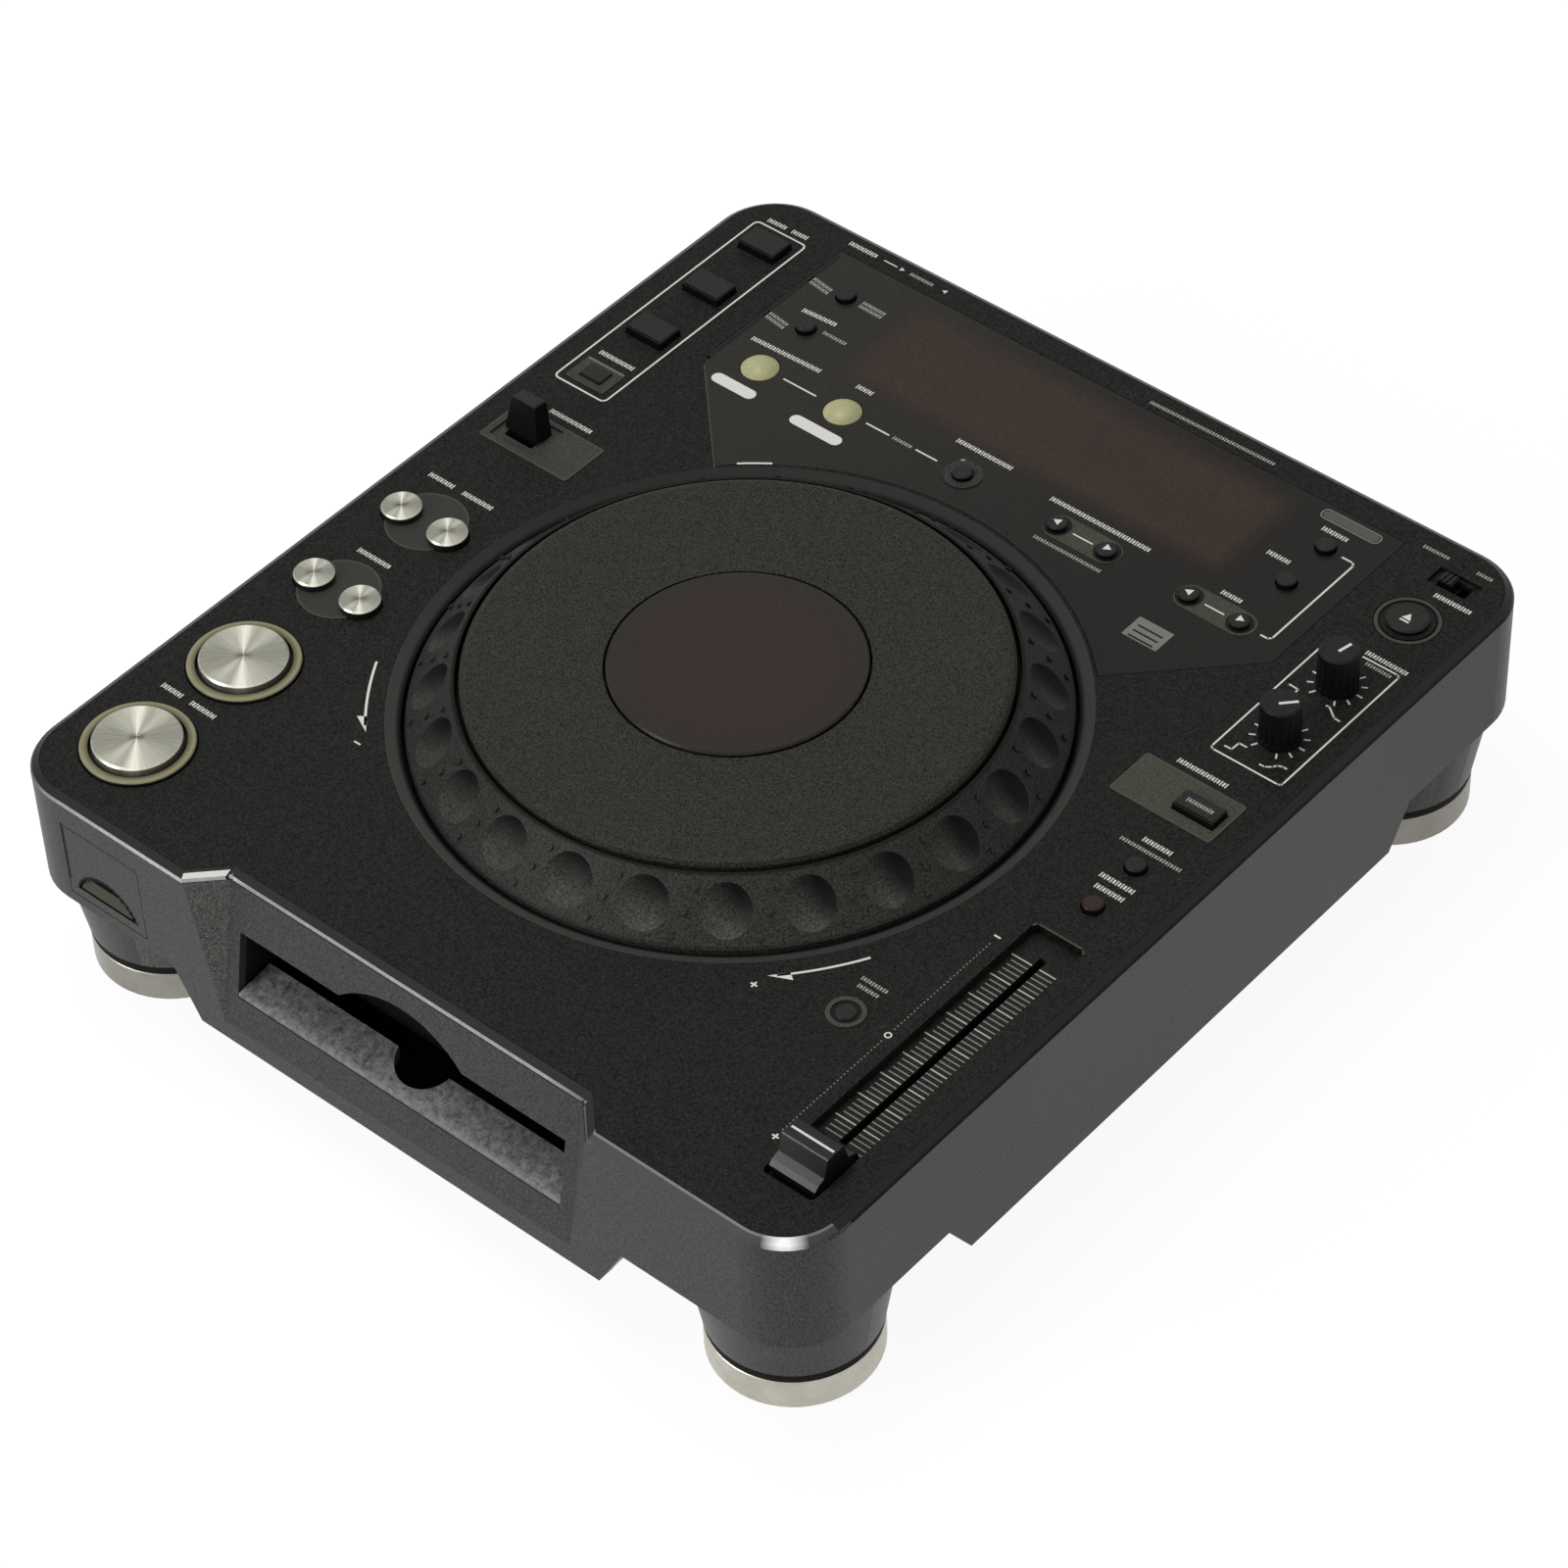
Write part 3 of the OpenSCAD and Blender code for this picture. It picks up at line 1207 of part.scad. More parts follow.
module tempo_fader() color([0.12, 0.12, 0.12]) {
    y = fader_y - fader_half;
    z = case_h - 1.6;
    top = case_h + fader_rise;
    l = fader_l / 2;
    r = ridge_l / 2;
    along_x(fader_x - fader_w / 2, fader_x + fader_w / 2) translate([y, 0])
        polygon([[-l, z], [l, z], [l, z + 2.4], [l - 1.5, z + 3.8], [r + 1.7, z + 4.8],
            [r, top - 0.4], [r - 0.4, top], [-r + 0.4, top], [-r, top - 0.4],
            [-r - 1.7, z + 4.8], [-l + 1.5, z + 3.8], [-l, z + 2.4]]);
    block(fader_x - 0.9, fader_x + 0.9, y - 3, y + 3, under - 5, z + eps);
    block(fader_x - 2.2, fader_x + 2.2, y - 4, y + 4, under - 8, under - 5 + eps);
}

module lock_slider() color([0.09, 0.09, 0.09]) {
    x = lock_x - lock_run / 2;
    block(x - 2.6, x + 2.6, lock_y - 2.3, lock_y + 2.3, lug_top - 1, case_h + 0.6);
    for (i = [-1, 0, 1])
        block(x + i * 1.7 - 0.4, x + i * 1.7 + 0.4, lock_y - 2.3, lock_y + 2.3,
            case_h + 0.5, case_h + 1.1);
    block(x - 3.4, x + 3.4, lock_y - 3.4, lock_y + 3.4, lug_top - 2.2, lug_top);
}

module power_rocker() color([0.08, 0.08, 0.08]) {
    w = rocker_w / 2;
    h = rocker_h / 2;
    along_x(rocker_x - w, rocker_x + w) translate([rear_face, rocker_z])
        polygon([[-8, -3], [-8, 3], [-3, h - 0.5], [1.8, h - 0.2], [0.8, 0],
            [1.8, -h + 0.2], [-3, -h + 0.5]]);
    along_x(rocker_x - w - 3.6, rocker_x + w + 3.6) translate([rear_face - 5, rocker_z])
        circle(1.5);
}

module card_door() color([0.42, 0.43, 0.43]) {
    x0 = door_x;
    x1 = door_x + door_w;
    y0 = -half_d + 0.05;
    difference() {
        union() {
            block(x0, x1, y0, y0 + door_t - 0.1, door_lo + 0.3, hinge_z);
            along_x(x0, x1) translate([hinge_y, hinge_z]) circle(hinge_r);
            along_x(x0 - 2, x1 + 2) translate([hinge_y, hinge_z]) circle(hinge_pin);
        }
        // finger scoop with an arched top
        intersection() {
            along_y(y0 - 1, y0 + door_t - 0.9)
                translate([door_mid, door_lo + 0.3]) circle(13.4);
            block(x0, x1, -half_d - 2, 0, door_lo + 3.8, door_hi);
        }
    }
}

cabinet();
top_panel();
bottom_pan();
rear_panel();
rear_jacks();
foot_rings();
foot_cores();
front_liners();
slot_lip();
display_window();
display_module();
jog_post();
jog_window();
drive_frame();
power_supply();
key_board();
lever_plate();
mode_plate();
fader_plate();
jog_ring();
jog_plate();
jog_encoder();
hot_key_1();
hot_key_2();
hot_key_3();
rec_key();
track_back();
track_next();
search_back();
search_next();
cue_cap();
cue_ring();
play_cap();
play_ring();
time_key();
text_key();
loop_in();
loop_out();
loop_exit();
wave_back();
wave_next();
call_back();
call_next();
memory_key();
delete_key();
eject_key();
mode_key();
range_key();
keylock_key();
reset_key();
direction_lever();
knob_touch();
knob_release();
tempo_fader();
lock_slider();
power_rocker();
card_door();
feed_roller();
disc_hub();
pickup_sled();
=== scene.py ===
# %% [markdown]
# # Dressing a tabletop disc player
# The solids of the player are loaded as a fixed frame, in metres. What is made here is laid
# on them: finishes, printing, thin trim and screws. A mark that belongs to one key or plate
# reads its place from that solid, so the two can't drift apart.

import math

import bpy
from mathutils import Matrix, Vector


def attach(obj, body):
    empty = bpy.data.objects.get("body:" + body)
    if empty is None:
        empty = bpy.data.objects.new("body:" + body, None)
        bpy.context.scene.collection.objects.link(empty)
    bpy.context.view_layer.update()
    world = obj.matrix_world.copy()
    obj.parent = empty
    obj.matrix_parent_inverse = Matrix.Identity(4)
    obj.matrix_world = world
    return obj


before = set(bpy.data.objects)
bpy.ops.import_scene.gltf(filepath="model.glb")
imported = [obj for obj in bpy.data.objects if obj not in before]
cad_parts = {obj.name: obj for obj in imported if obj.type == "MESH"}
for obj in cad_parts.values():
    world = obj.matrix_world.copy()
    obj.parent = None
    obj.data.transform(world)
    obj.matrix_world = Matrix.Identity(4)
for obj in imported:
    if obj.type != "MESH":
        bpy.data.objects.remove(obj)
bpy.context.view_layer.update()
MM = 0.001

# %% [markdown]
# ## Places read from the solids
# Every solid has its place in its mesh and its object at the origin, so its box says where it
# is. Sizes are read in millimetres and rounded to what a drawing would say.


# %% Places
def box_of(name):
    """The low and the high corner of a solid's box, in millimetres."""
    axes = list(zip(*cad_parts[name].bound_box))
    return [[round(end(axis) / MM, 2) for axis in axes] for end in (min, max)]


def middle_of(name):
    """The middle of a solid's box seen from above, to a tenth of a millimetre."""
    low, high = box_of(name)
    return tuple(round((low[n] + high[n]) / 2, 1) for n in range(2))


def top_of(name):
    """How high a solid reaches, to a tenth of a millimetre."""
    return round(box_of(name)[1][2], 1)


TOP = top_of("top_panel")
JOG_Y = middle_of("jog_ring")[1] * MM
CASE_WIDTH = (box_of("cabinet")[1][0] - box_of("cabinet")[0][0]) * MM
print("top panel:", TOP, "mm; dial:", middle_of("jog_ring"), "case width:", CASE_WIDTH)

# %% [markdown]
# ## The camera
# A product shot from above the front right corner: a long lens keeps the case from looking
# pinched. The camera is placed by its three axes, so its slight roll is kept.

# %% Camera
EYE = (0.8089, -0.8837, 1.2303)
SIGHT_RIGHT = (0.75873, 0.65059, -0.03256)
SIGHT_UP = (-0.44241, 0.55135, 0.70731)
SIGHT_BACK = (0.47812, -0.52225, 0.70615)

lens = bpy.data.cameras.new("camera")
lens.lens = 123.26
lens.sensor_width = 36.0
lens.clip_end = 20.0
camera = bpy.data.objects.new("camera", lens)
bpy.context.scene.collection.objects.link(camera)
rows = zip(SIGHT_RIGHT, SIGHT_UP, SIGHT_BACK, EYE)
camera.matrix_world = Matrix([*rows, (0, 0, 0, 1)])
bpy.context.scene.camera = camera
print("camera", [round(v, 3) for v in camera.location])

# %% [markdown]
# ## Shader maths in plain Python
# A material is a small network of nodes. Writing it as expressions keeps it readable, so one
# class wraps a socket and overloads the operators: a sum of two wires adds its Math node.


# %% Wires
class Wire:
    """An output socket that can be used in sums and products."""

    def __init__(self, finish, socket):
        self.finish = finish
        self.socket = socket

    def __add__(self, other):
        return self.finish.maths("ADD", self, other)

    def __sub__(self, other):
        return self.finish.maths("SUBTRACT", self, other)

    def __rsub__(self, other):
        return self.finish.maths("SUBTRACT", other, self)

    def __mul__(self, other):
        return self.finish.maths("MULTIPLY", self, other)

    def __truediv__(self, other):
        return self.finish.maths("DIVIDE", self, other)

    def __pow__(self, other):
        return self.finish.maths("POWER", self, other)

    def __gt__(self, other):
        return self.finish.maths("GREATER_THAN", self, other)

    def __lt__(self, other):
        return self.finish.maths("LESS_THAN", self, other)

    __radd__ = __add__
    __rmul__ = __mul__


print("operators on a wire:", sum(callable(value) for value in vars(Wire).values()) - 1)

# %% [markdown]
# A finish holds one material. One method adds any node from its type, its settings and what
# goes into its sockets. The others are the few sentences that every finish here is made of:
# where a point is, which way it faces, a noise, a ramp, a blend and a bump.


# %% Finishes
class Finish:
    """A material whose Principled shader is filled in by keyword."""

    def __init__(self, name):
        self.material = bpy.data.materials.new(name)
        self.material.use_nodes = True
        self.tree = self.material.node_tree
        self.shader = self.tree.nodes["Principled BSDF"]

    def node(self, kind, settings=None, inputs=None, out=0):
        made = self.tree.nodes.new("ShaderNode" + kind)
        for key, value in (settings or {}).items():
            if key == "stops":
                for n, (place, colour) in enumerate(value):
                    stops = made.color_ramp.elements
                    stop = stops[n] if n < 2 else stops.new(place)
                    stop.position, stop.color = place, (*colour, 1)
            else:
                setattr(made, key, value)
        for key, value in (inputs or {}).items():
            self.feed(made.inputs[key], value)
        return Wire(self, made.outputs[out])

    def feed(self, socket, value):
        if isinstance(value, Wire):
            self.tree.links.new(value.socket, socket)
        elif socket.type == "RGBA" and len(value) == 3:
            socket.default_value = (*value, 1)
        else:
            socket.default_value = value

    def set(self, **inputs):
        for key, value in inputs.items():
            self.feed(self.shader.inputs[key.replace("_", " ")], value)
        return self.material

    def maths(self, operation, *values):
        return self.node("Math", {"operation": operation}, dict(enumerate(values)))

    def split(self, output):
        """The x, y and z of what Texture Coordinate says: Object is a place in metres."""
        at = self.node("SeparateXYZ", None, {0: self.node("TexCoord", out=output)})
        return [Wire(self, axis) for axis in at.socket.node.outputs]

    def place(self):
        return self.split("Object")

    def facing(self):
        return self.split("Normal")

    def noise(self, scale, detail=2.0, vector=None):
        """Clouds or grain of so many per metre, unless it follows a vector of its own."""
        ways = {"Vector": vector or self.node("TexCoord", out="Object"), "Scale": scale}
        return self.node("TexNoise", None, {**ways, "Detail": detail})

    def ramp(self, value, low, high, start=0.0, end=1.0):
        """Goes from start to end as the value goes from low to high."""
        ways = {0: value, 1: low, 2: high, 3: start, 4: end}
        return self.node("MapRange", None, ways)

    def from_point(self, x, y):
        """Distance from the upright line through a point given in millimetres."""
        px, py, _ = self.place()
        dx = px - x * MM
        dy = py - y * MM
        return (dx * dx + dy * dy) ** 0.5

    def round_dial(self, level, *waves):
        """A level that swells round the dial: each wave has a count, a size and a way."""
        px, py, _ = self.place()
        turn = self.maths("ARCTAN2", py - JOG_Y, px)
        for count, size, way in waves:
            level = self.maths("COSINE", (turn - math.radians(way)) * count) * size + level
        return level

    def blend(self, amount, low, high):
        return self.node("Mix", {"data_type": "RGBA"}, {0: amount, 6: low, 7: high}, out=2)

    def dimmed(self, colour, tone):
        """A colour times a tone."""
        return self.node("VectorMath", {"operation": "SCALE"}, {0: colour, 3: tone})

    def relief(self, height, strength, depth):
        ways = {"Height": height, "Strength": strength, "Distance": depth}
        return self.node("Bump", None, ways)


def tint(colour, gain):
    return tuple(min(1.0, c * gain) for c in colour)


print("ready to mix finishes")

# %% [markdown]
# ## Moulded and painted finishes
# The case is sprayed grey, the top panel is fine grained black plastic, and the dial is a
# slightly softer, greyer one. All of them share one recipe: a base colour that drifts a
# little, a roughness that drifts with it, and a grain whose size tells them apart. Dark
# plastic reflects little, so their gloss is kept low.


# %% The shared recipe
CLOUDS = 18.0
GRAIN_DEPTH = 0.2 * MM


def mottled(f, colour, grain, drift, speck):
    """A colour that drifts over centimetres and is specked at the size of its grain.

    Noise stays close to its middle, so the specks are stretched nine times."""
    broad = f.noise(CLOUDS, 3.0)
    fine = f.noise(grain, 2.0)
    mottle = broad * (2 * drift) + (1 - drift) + (fine - 0.5) * (9 * speck)
    return f.blend(mottle * 0.5, (0, 0, 0), tint(colour, 2.0)), broad, fine


def drifting(broad, rough):
    """Roughness that drifts with the colour, on both sides of its middle."""
    return broad * 0.12 + (rough - 0.06)


def moulded(name, colour, rough, grain, height, drift=0.1, metal=0.0, gloss=0.08, speck=0.4):
    """Plastic or paint with grain of so many bumps per metre."""
    f = Finish(name)
    shade, broad, fine = mottled(f, colour, grain, drift, speck)
    return f.set(
        Base_Color=shade,
        Roughness=drifting(broad, rough),
        Metallic=metal,
        Specular_IOR_Level=gloss,
        Normal=f.relief(fine, height, GRAIN_DEPTH),
    )


plate_plastic = moulded("plate_plastic", (0.0183, 0.0193, 0.0138), 0.55, 1700, 0.5, speck=0.5)
slot_plastic = moulded("slot_plastic", (0.006, 0.006, 0.006), 0.5, 1500, 0.3)
liner_plastic = moulded("liner_plastic", (0.011, 0.011, 0.0095), 0.5, 1500, 0.3)
trough_plastic = moulded("trough_plastic", (0.0085, 0.0083, 0.0072), 0.5, 1500, 0.3)
rubber = moulded("rubber", (0.006, 0.006, 0.006), 0.7, 1800, 0.3, gloss=0.1)
lever_plastic = moulded("lever_plastic", (0.034, 0.035, 0.03), 0.5, 1800, 0.4, speck=0.2)
mode_plastic = moulded("mode_plastic", (0.045, 0.045, 0.035), 0.5, 1800, 0.4, speck=0.2)
nylon = moulded("nylon", (0.6, 0.6, 0.56), 0.5, 900, 0.2)
board_green = moulded("board_green", (0.02, 0.09, 0.04), 0.45, 500, 0.2)
sheet_steel = moulded("sheet_steel", (0.45, 0.46, 0.47), 0.38, 1200, 0.1, metal=1.0)
print("moulded finishes ready")

# %% [markdown]
# ### The dial's ring
# The ring's slope has a dimple for each finger tip. Under an even sky a bump would hardly show,
# so the colour follows the way each face is turned: pale where a dimple faces the light, dark
# where it faces away. Its level also swells gently round the dial, as the room's light does.


# %% The dial's ring
def dimpled():
    """The ring's slope, whose dimples catch the light on their near sides.

    The slope's own lean is taken away first, so that only dimples and pips show."""
    lean = 0.72
    slope_start = 87.2 * MM
    f = Finish("dial_plastic")
    shade, broad, fine = mottled(f, (0.0325, 0.0345, 0.0298), 1500, 0.12, 0.38)
    _, y, _ = f.place()
    _, ny, nz = f.facing()
    radius = f.from_point(*middle_of("jog_ring"))
    turned = ny - (y - JOG_Y) / radius * lean
    slope = (radius > slope_start) * (nz > 0.3) * (nz < 0.95)
    light = f.ramp(turned, -0.25, 0.15, 0.1, 1.35)
    around = f.round_dial(0.73, (2, 0.21, -49))
    # Painted shade: the ring turns dark at its inner edge, beside the plate.
    around = around * f.ramp(radius, 87.5 * MM, 88.1 * MM, 0.15, 1.0)
    tone = ((light - 1.0) * slope + 1.0) * around
    return f.set(
        Base_Color=f.dimmed(shade, tone),
        Roughness=drifting(broad, 0.5),
        Specular_IOR_Level=0.08,
        Normal=f.relief(fine, 0.3, GRAIN_DEPTH),
    )


dial_plastic = dimpled()
collar_plastic = moulded("collar_plastic", (0.026, 0.0275, 0.025), 0.5, 1500, 0.3)
print("dial plastic ready")

# %% [markdown]
# ### Keys, fader and lip
# Small keys have their tops painted paler and their sides nearly black, as painted light from
# above, and the fader's cap has a painted sheen on one slope. These are read from the way the
# faces are turned, so no mask has to be painted.
# The lip of the slot is rougher than the case. Its paint is pale and uneven, with painted
# highlights along its front edge and at its left end.


# %% Keys and lip
def top_lit_plastic(name, top, side, rough, gloss):
    """Key plastic, painted paler on its top and nearly black on its sides, as painted light from
    above.
    """
    f = Finish(name)
    shade, broad, fine = mottled(f, top, 2500, 0.2, 0.35)
    _, _, nz = f.facing()
    return f.set(
        # Painted light: tops facing up to the light are paler than the sides.
        Base_Color=f.blend(f.ramp(nz, 0.2, 0.8), side, shade),
        Roughness=drifting(broad, rough),
        Specular_IOR_Level=gloss,
        Normal=f.relief(fine, 0.2, GRAIN_DEPTH),
    )


key_plastic = top_lit_plastic("key_plastic", (0.0145, 0.015, 0.0135), (0.003, 0.003, 0.003), 0.4, 0.1)
key_red = top_lit_plastic("key_red", (0.024, 0.0125, 0.0115), (0.008, 0.004, 0.004), 0.35, 0.12)
knob_plastic = top_lit_plastic("knob_plastic", (0.012, 0.0128, 0.0115), (0.0042,) * 3, 0.5, 0.08)


def fader_body():
    """Black slide whose front slope has a painted sheen, paler to the left."""
    f = Finish("fader_plastic")
    x, _, _ = f.place()
    _, ny, nz = f.facing()
    grain = f.noise(1500.0, 3.0)
    # Painted sheen on the front slope, fading from left to right.
    lit = (ny < -0.3) * (nz > 0.15) * f.ramp(x, 0.13, 0.147, 1.0, 0.3)
    return f.set(
        Base_Color=f.blend(lit, (0.0042, 0.0042, 0.004), (0.034, 0.035, 0.033)),
        Roughness=grain * 0.2 + 0.22,
        Specular_IOR_Level=0.22,
        Normal=f.relief(grain, 0.2, 0.1 * MM),
    )


fader_plastic = fader_body()


def brushed_lip():
    """The lip is coarser than the case, with uneven paint, and painted highlights at the front
    edge and the left end.
    """
    f = Finish("lip_plastic")
    broad = f.noise(420.0, 4.0)
    fine = f.noise(1300.0, 3.0)
    x, y, _ = f.place()
    level = f.ramp(x, -0.065, 0.065, 0.5, 0.6) + (broad - 0.5) * 1.3 + (fine - 0.5) * 0.9
    # Painted highlights: paler along the front edge and on the left end.
    level = level + f.ramp(y, -0.1769, -0.1745, 0.3, 0.0) + (x < -0.0652) * 0.6
    return f.set(
        Base_Color=f.blend(level, (0.0, 0.0, 0.0), (0.19, 0.195, 0.198)),
        Roughness=broad * 0.15 + 0.42,
        Specular_IOR_Level=0.1,
        Normal=f.relief(fine, 0.5, GRAIN_DEPTH),
    )


lip_plastic = brushed_lip()
print("keys and lip ready")

# %% [markdown]
# ### The case
# The walls are sprayed grey. The narrow slope round the top edge is black, and on the facet under
# it a highlight is painted: a bright line at the front that fades to the corners, with one
# painted glint at the right hand corner. More painted light and shade lies on the edge and the
# walls: a paler band with a highlight line on the right front slope, a glint where the recess
# turns at the left, the turned face at the recess's left end lighter, a black facet along the
# right side, a right wall darker towards the rear and front faces a little darker. Each part of
# the edge is picked by where it lies and which way it faces. The painted highlight along the
# front is a short list of stops: a share of the width from the left, and how bright the highlight
# is there.


# %% Case paint
# Stops of the painted highlight along the front edge: share of the width, brightness.
EDGE_HIGHLIGHT = (
    (0.0, 0.02), (0.03, 0.06), (0.06, 0.24), (0.2, 0.4), (0.28, 0.4), (0.3, 0.26),
    (0.5, 0.29), (0.68, 0.27), (0.72, 0.14), (0.77, 0.05), (1.0, 0.05),
)


def sprayed_case():
    """Grey paint, a black slope round the top, and painted highlights and shade on the edge below
    it.
    """
    f = Finish("case_paint")
    shade, broad, fine = mottled(f, (0.04, 0.042, 0.0385), 1500, 0.12, 0.36)
    x, y, z = f.place()
    nx, ny, nz = f.facing()
    top = f.ramp(nz, 0.6, 0.7)
    facet = (nz > 0.35) * (nz < 0.6) * (z > 80 * MM)
    front = ny < -0.3
    # Painted light and shade on the walls: the right wall darker towards the rear, the recess's
    # turned left end lighter, the front faces a little darker.
    right_wall_rear_shade = f.ramp(y, 0.05, 0.17) * (nx > 0.9)
    lit_recess_end = (nx > 0.4) * (nx < 0.95) * front * (x < -60 * MM)
    tone = 1.0 - right_wall_rear_shade * 0.55 + lit_recess_end * 0.8 - (ny < -0.8) * 0.08
    colour = f.blend(top, f.dimmed(shade, tone), (0.0078, 0.008, 0.0072))
    # Painted sheen: a paler band on the right front slope, with a painted highlight line along
    # its inner edge.
    lit_right_front = (x > 82 * MM) * (y < -160 * MM) * top
    colour = f.blend(lit_right_front, colour, (0.04, 0.042, 0.041))
    colour = f.blend(lit_right_front * (z > 84.6 * MM), colour, (0.13, 0.132, 0.13))
    # Painted highlight: the bright line on the front facet, fading to the corners and broken up
    # by noise.
    stops = [(share, (v, v * 1.02, v * 1.01)) for share, v in EDGE_HIGHLIGHT]
    edge_highlight = f.node("ValToRGB", {"stops": stops}, {0: x * (1 / CASE_WIDTH) + 0.5})
    wear_and_sheen = f.noise(420.0, 3.0) * 1.1 - 0.1
    colour = f.blend(facet * front * (wear_and_sheen * 0.5 + 0.55), colour, edge_highlight)
    # Painted shade: the facet along the right side, facing away from the light, is black.
    colour = f.blend(facet * (nx > 0.3) * (y > -155 * MM), colour, (0.0035, 0.0035, 0.003))
    # Painted glint on the slope where the recess turns at the left.
    left_glint = top * (nx > 0.3) * front * (x < 0.0) * (z < 84.5 * MM)
    colour = f.blend(left_glint, colour, (0.5, 0.48, 0.46))
    # Painted glint on the right hand front corner.
    glint = f.ramp(f.from_point(151.2, -173.9), 1.5 * MM, 7 * MM, 1.0, 0.0)
    with_glint = f.blend(glint * (nz > 0.35) * (z > 82 * MM), colour, (0.8, 0.8, 0.79))
    return f.set(
        Base_Color=with_glint,
        Roughness=drifting(broad, 0.42),
        Metallic=facet * 0.4 + 0.2 - right_wall_rear_shade * 0.14,
        Specular_IOR_Level=0.2,
        Normal=f.relief(fine, 0.25, GRAIN_DEPTH),
    )


case_paint = sprayed_case()
print("case paint ready")

# %% [markdown]
# ### The top panel
# The panel is black with a fine grain. Round the dial's hole it has a bevel, painted paler as
# painted light and not evenly, so its tone is a level with one wave and two waves round the dial.
# At the hole's edge the bevel is painted dark, as painted shade.


# %% Panel plastic
def grained_panel():
    """The black top panel, with a bevel round the dial's hole painted paler as painted light."""
    f = Finish("panel_plastic")
    shade, broad, fine = mottled(f, (0.0092, 0.0097, 0.0083), 1500, 0.1, 0.5)
    _, _, z = f.place()
    off = f.from_point(*middle_of("jog_ring"))
    bevel = (off < 109.1 * MM) * (z > 82.9 * MM)
    # Painted light and shade on the bevel: its tone swells round the dial as the light falls, and
    # turns dark at the hole's edge.
    around = f.round_dial(0.79, (1, 0.24, -61), (2, 0.2, 55))
    around = around * f.ramp(off, 104.9 * MM, 106.2 * MM, 0.06, 1.0)
    return f.set(
        Base_Color=f.blend(bevel, shade, f.dimmed((0.039, 0.04, 0.0365), around)),
        Roughness=drifting(broad, 0.5),
        Specular_IOR_Level=0.06,
        Normal=f.relief(fine, 0.4, GRAIN_DEPTH),
    )


panel_plastic = grained_panel()
print("panel plastic ready")

# %% [markdown]
# ## Lenses, lamps and metal
# The smoked panel is glossy, and a display sleeps under it as a red brown field. The solid
# lens hides what lies below it, so the field is drawn in the lens itself: a rectangle with
# soft edges for the long panel, and a round one for the dial's window.


# %% Smoked lenses
def smoked(name, sides, glow, reach, centre):
    """Smoked lens over a dim field: reach is half the field's size, or one radius.

    The lens has one colour at its left side and another at its right side."""
    f = Finish(name)
    x, y, _ = f.place()
    if len(reach) == 2:
        inside = 1.0
        for axis, half, middle in ((x, reach[0], centre[0]), (y, reach[1], centre[1])):
            off = f.maths("ABSOLUTE", axis - middle)
            inside = f.ramp(off, half - 4 * MM, half + 4 * MM, 1.0, 0.0) * inside
    else:
        off = f.from_point(centre[0] / MM, centre[1] / MM)
        inside = f.ramp(off, reach[0] * 0.7, reach[0], 1.0, 0.0)
    cloud = f.noise(50.0, 3.0) * 0.7 + 0.65
    haze = f.noise(900.0, 2.0)
    fleck = (f.noise(1700.0, 2.0) - 0.5) * 1.6
    dark = f.blend(f.ramp(x, -0.08, 0.07), *sides)
    shade = f.blend(inside * cloud * 0.8 + 0.1, dark, glow)
    return f.set(
        Base_Color=f.dimmed(shade, fleck + 1.0),
        Roughness=haze * 0.15 + 0.22,
        Specular_IOR_Level=0.12,
        Normal=f.relief(haze, 0.15, 0.1 * MM),
    )


panel_lens = smoked("panel_lens", ((0.0125, 0.0128, 0.0108), (0.0064, 0.0064, 0.0052)),
                    (0.0278, 0.0168, 0.0124), (76 * MM, 19.5 * MM), (1 * MM, 140.5 * MM))
dial_lens = smoked("dial_lens", ((0.018, 0.015, 0.012), (0.018, 0.015, 0.012)),
                   (0.0235, 0.0145, 0.0118), (38 * MM,), (0.0, JOG_Y))
print("lenses ready")

# %% [markdown]
# ### Metal
# The silver caps are turned on a lathe: their fine rings gather light into narrow sectors, which
# turn with the eye and not with the cap. The sheen is painted as a soft wheel round each cap's
# own centre. The feet's rings are plain steel, darker to the left and to the rear.


# %% Turned silver
def turned_silver(name, x, y, foot=None):
    """Spun metal cap centred on x, y in millimetres; below its foot height it's black."""
    f = Finish(name)
    px, py, pz = f.place()
    _, _, nz = f.facing()
    angle = f.maths("ARCTAN2", py - y * MM, px - x * MM)
    radius = f.from_point(x, y)

    def spoke(middle, sharp):
        """Two opposite bright sectors, narrower the sharper they are."""
        lean = f.maths("COSINE", angle - middle)
        return (lean * lean) ** sharp

    streak = f.node("CombineXYZ", None, {0: angle * 11.0, 1: radius * 40.0})
    fibres = f.noise(2.2, 4.0, streak)
    stain = f.noise(700.0, 2.0) * 0.8 - 0.1
    hub = f.ramp(radius, 0.8 * MM, 3.2 * MM, -0.6, 0.0) * stain
    # Painted sheen: bright sectors round the cap's centre.
    bright = (spoke(2.36, 1.2) * 0.25 + spoke(2.28, 26.0) * 0.42 + spoke(1.6, 20.0) * 0.12
              - spoke(2.0, 40.0) * 0.12 + fibres * 0.4 + hub)
    # Painted highlight on the bevel round the cap's rim.
    bright = bright + (nz < 0.9) * 0.16
    colour = f.blend(bright, (0.09, 0.087, 0.068), (0.77, 0.765, 0.66))
    metal = 0.85
    if foot:
        body = pz < foot * MM
        colour = f.blend(body, colour, (0.006, 0.006, 0.006))
        metal = body * -0.85 + 0.85
    rings = f.maths("SINE", radius * 9000.0)
    return f.set(Base_Color=colour, Metallic=metal, Roughness=fibres * 0.2 + 0.25,
                 Normal=f.relief(rings, 0.06, 0.05 * MM))


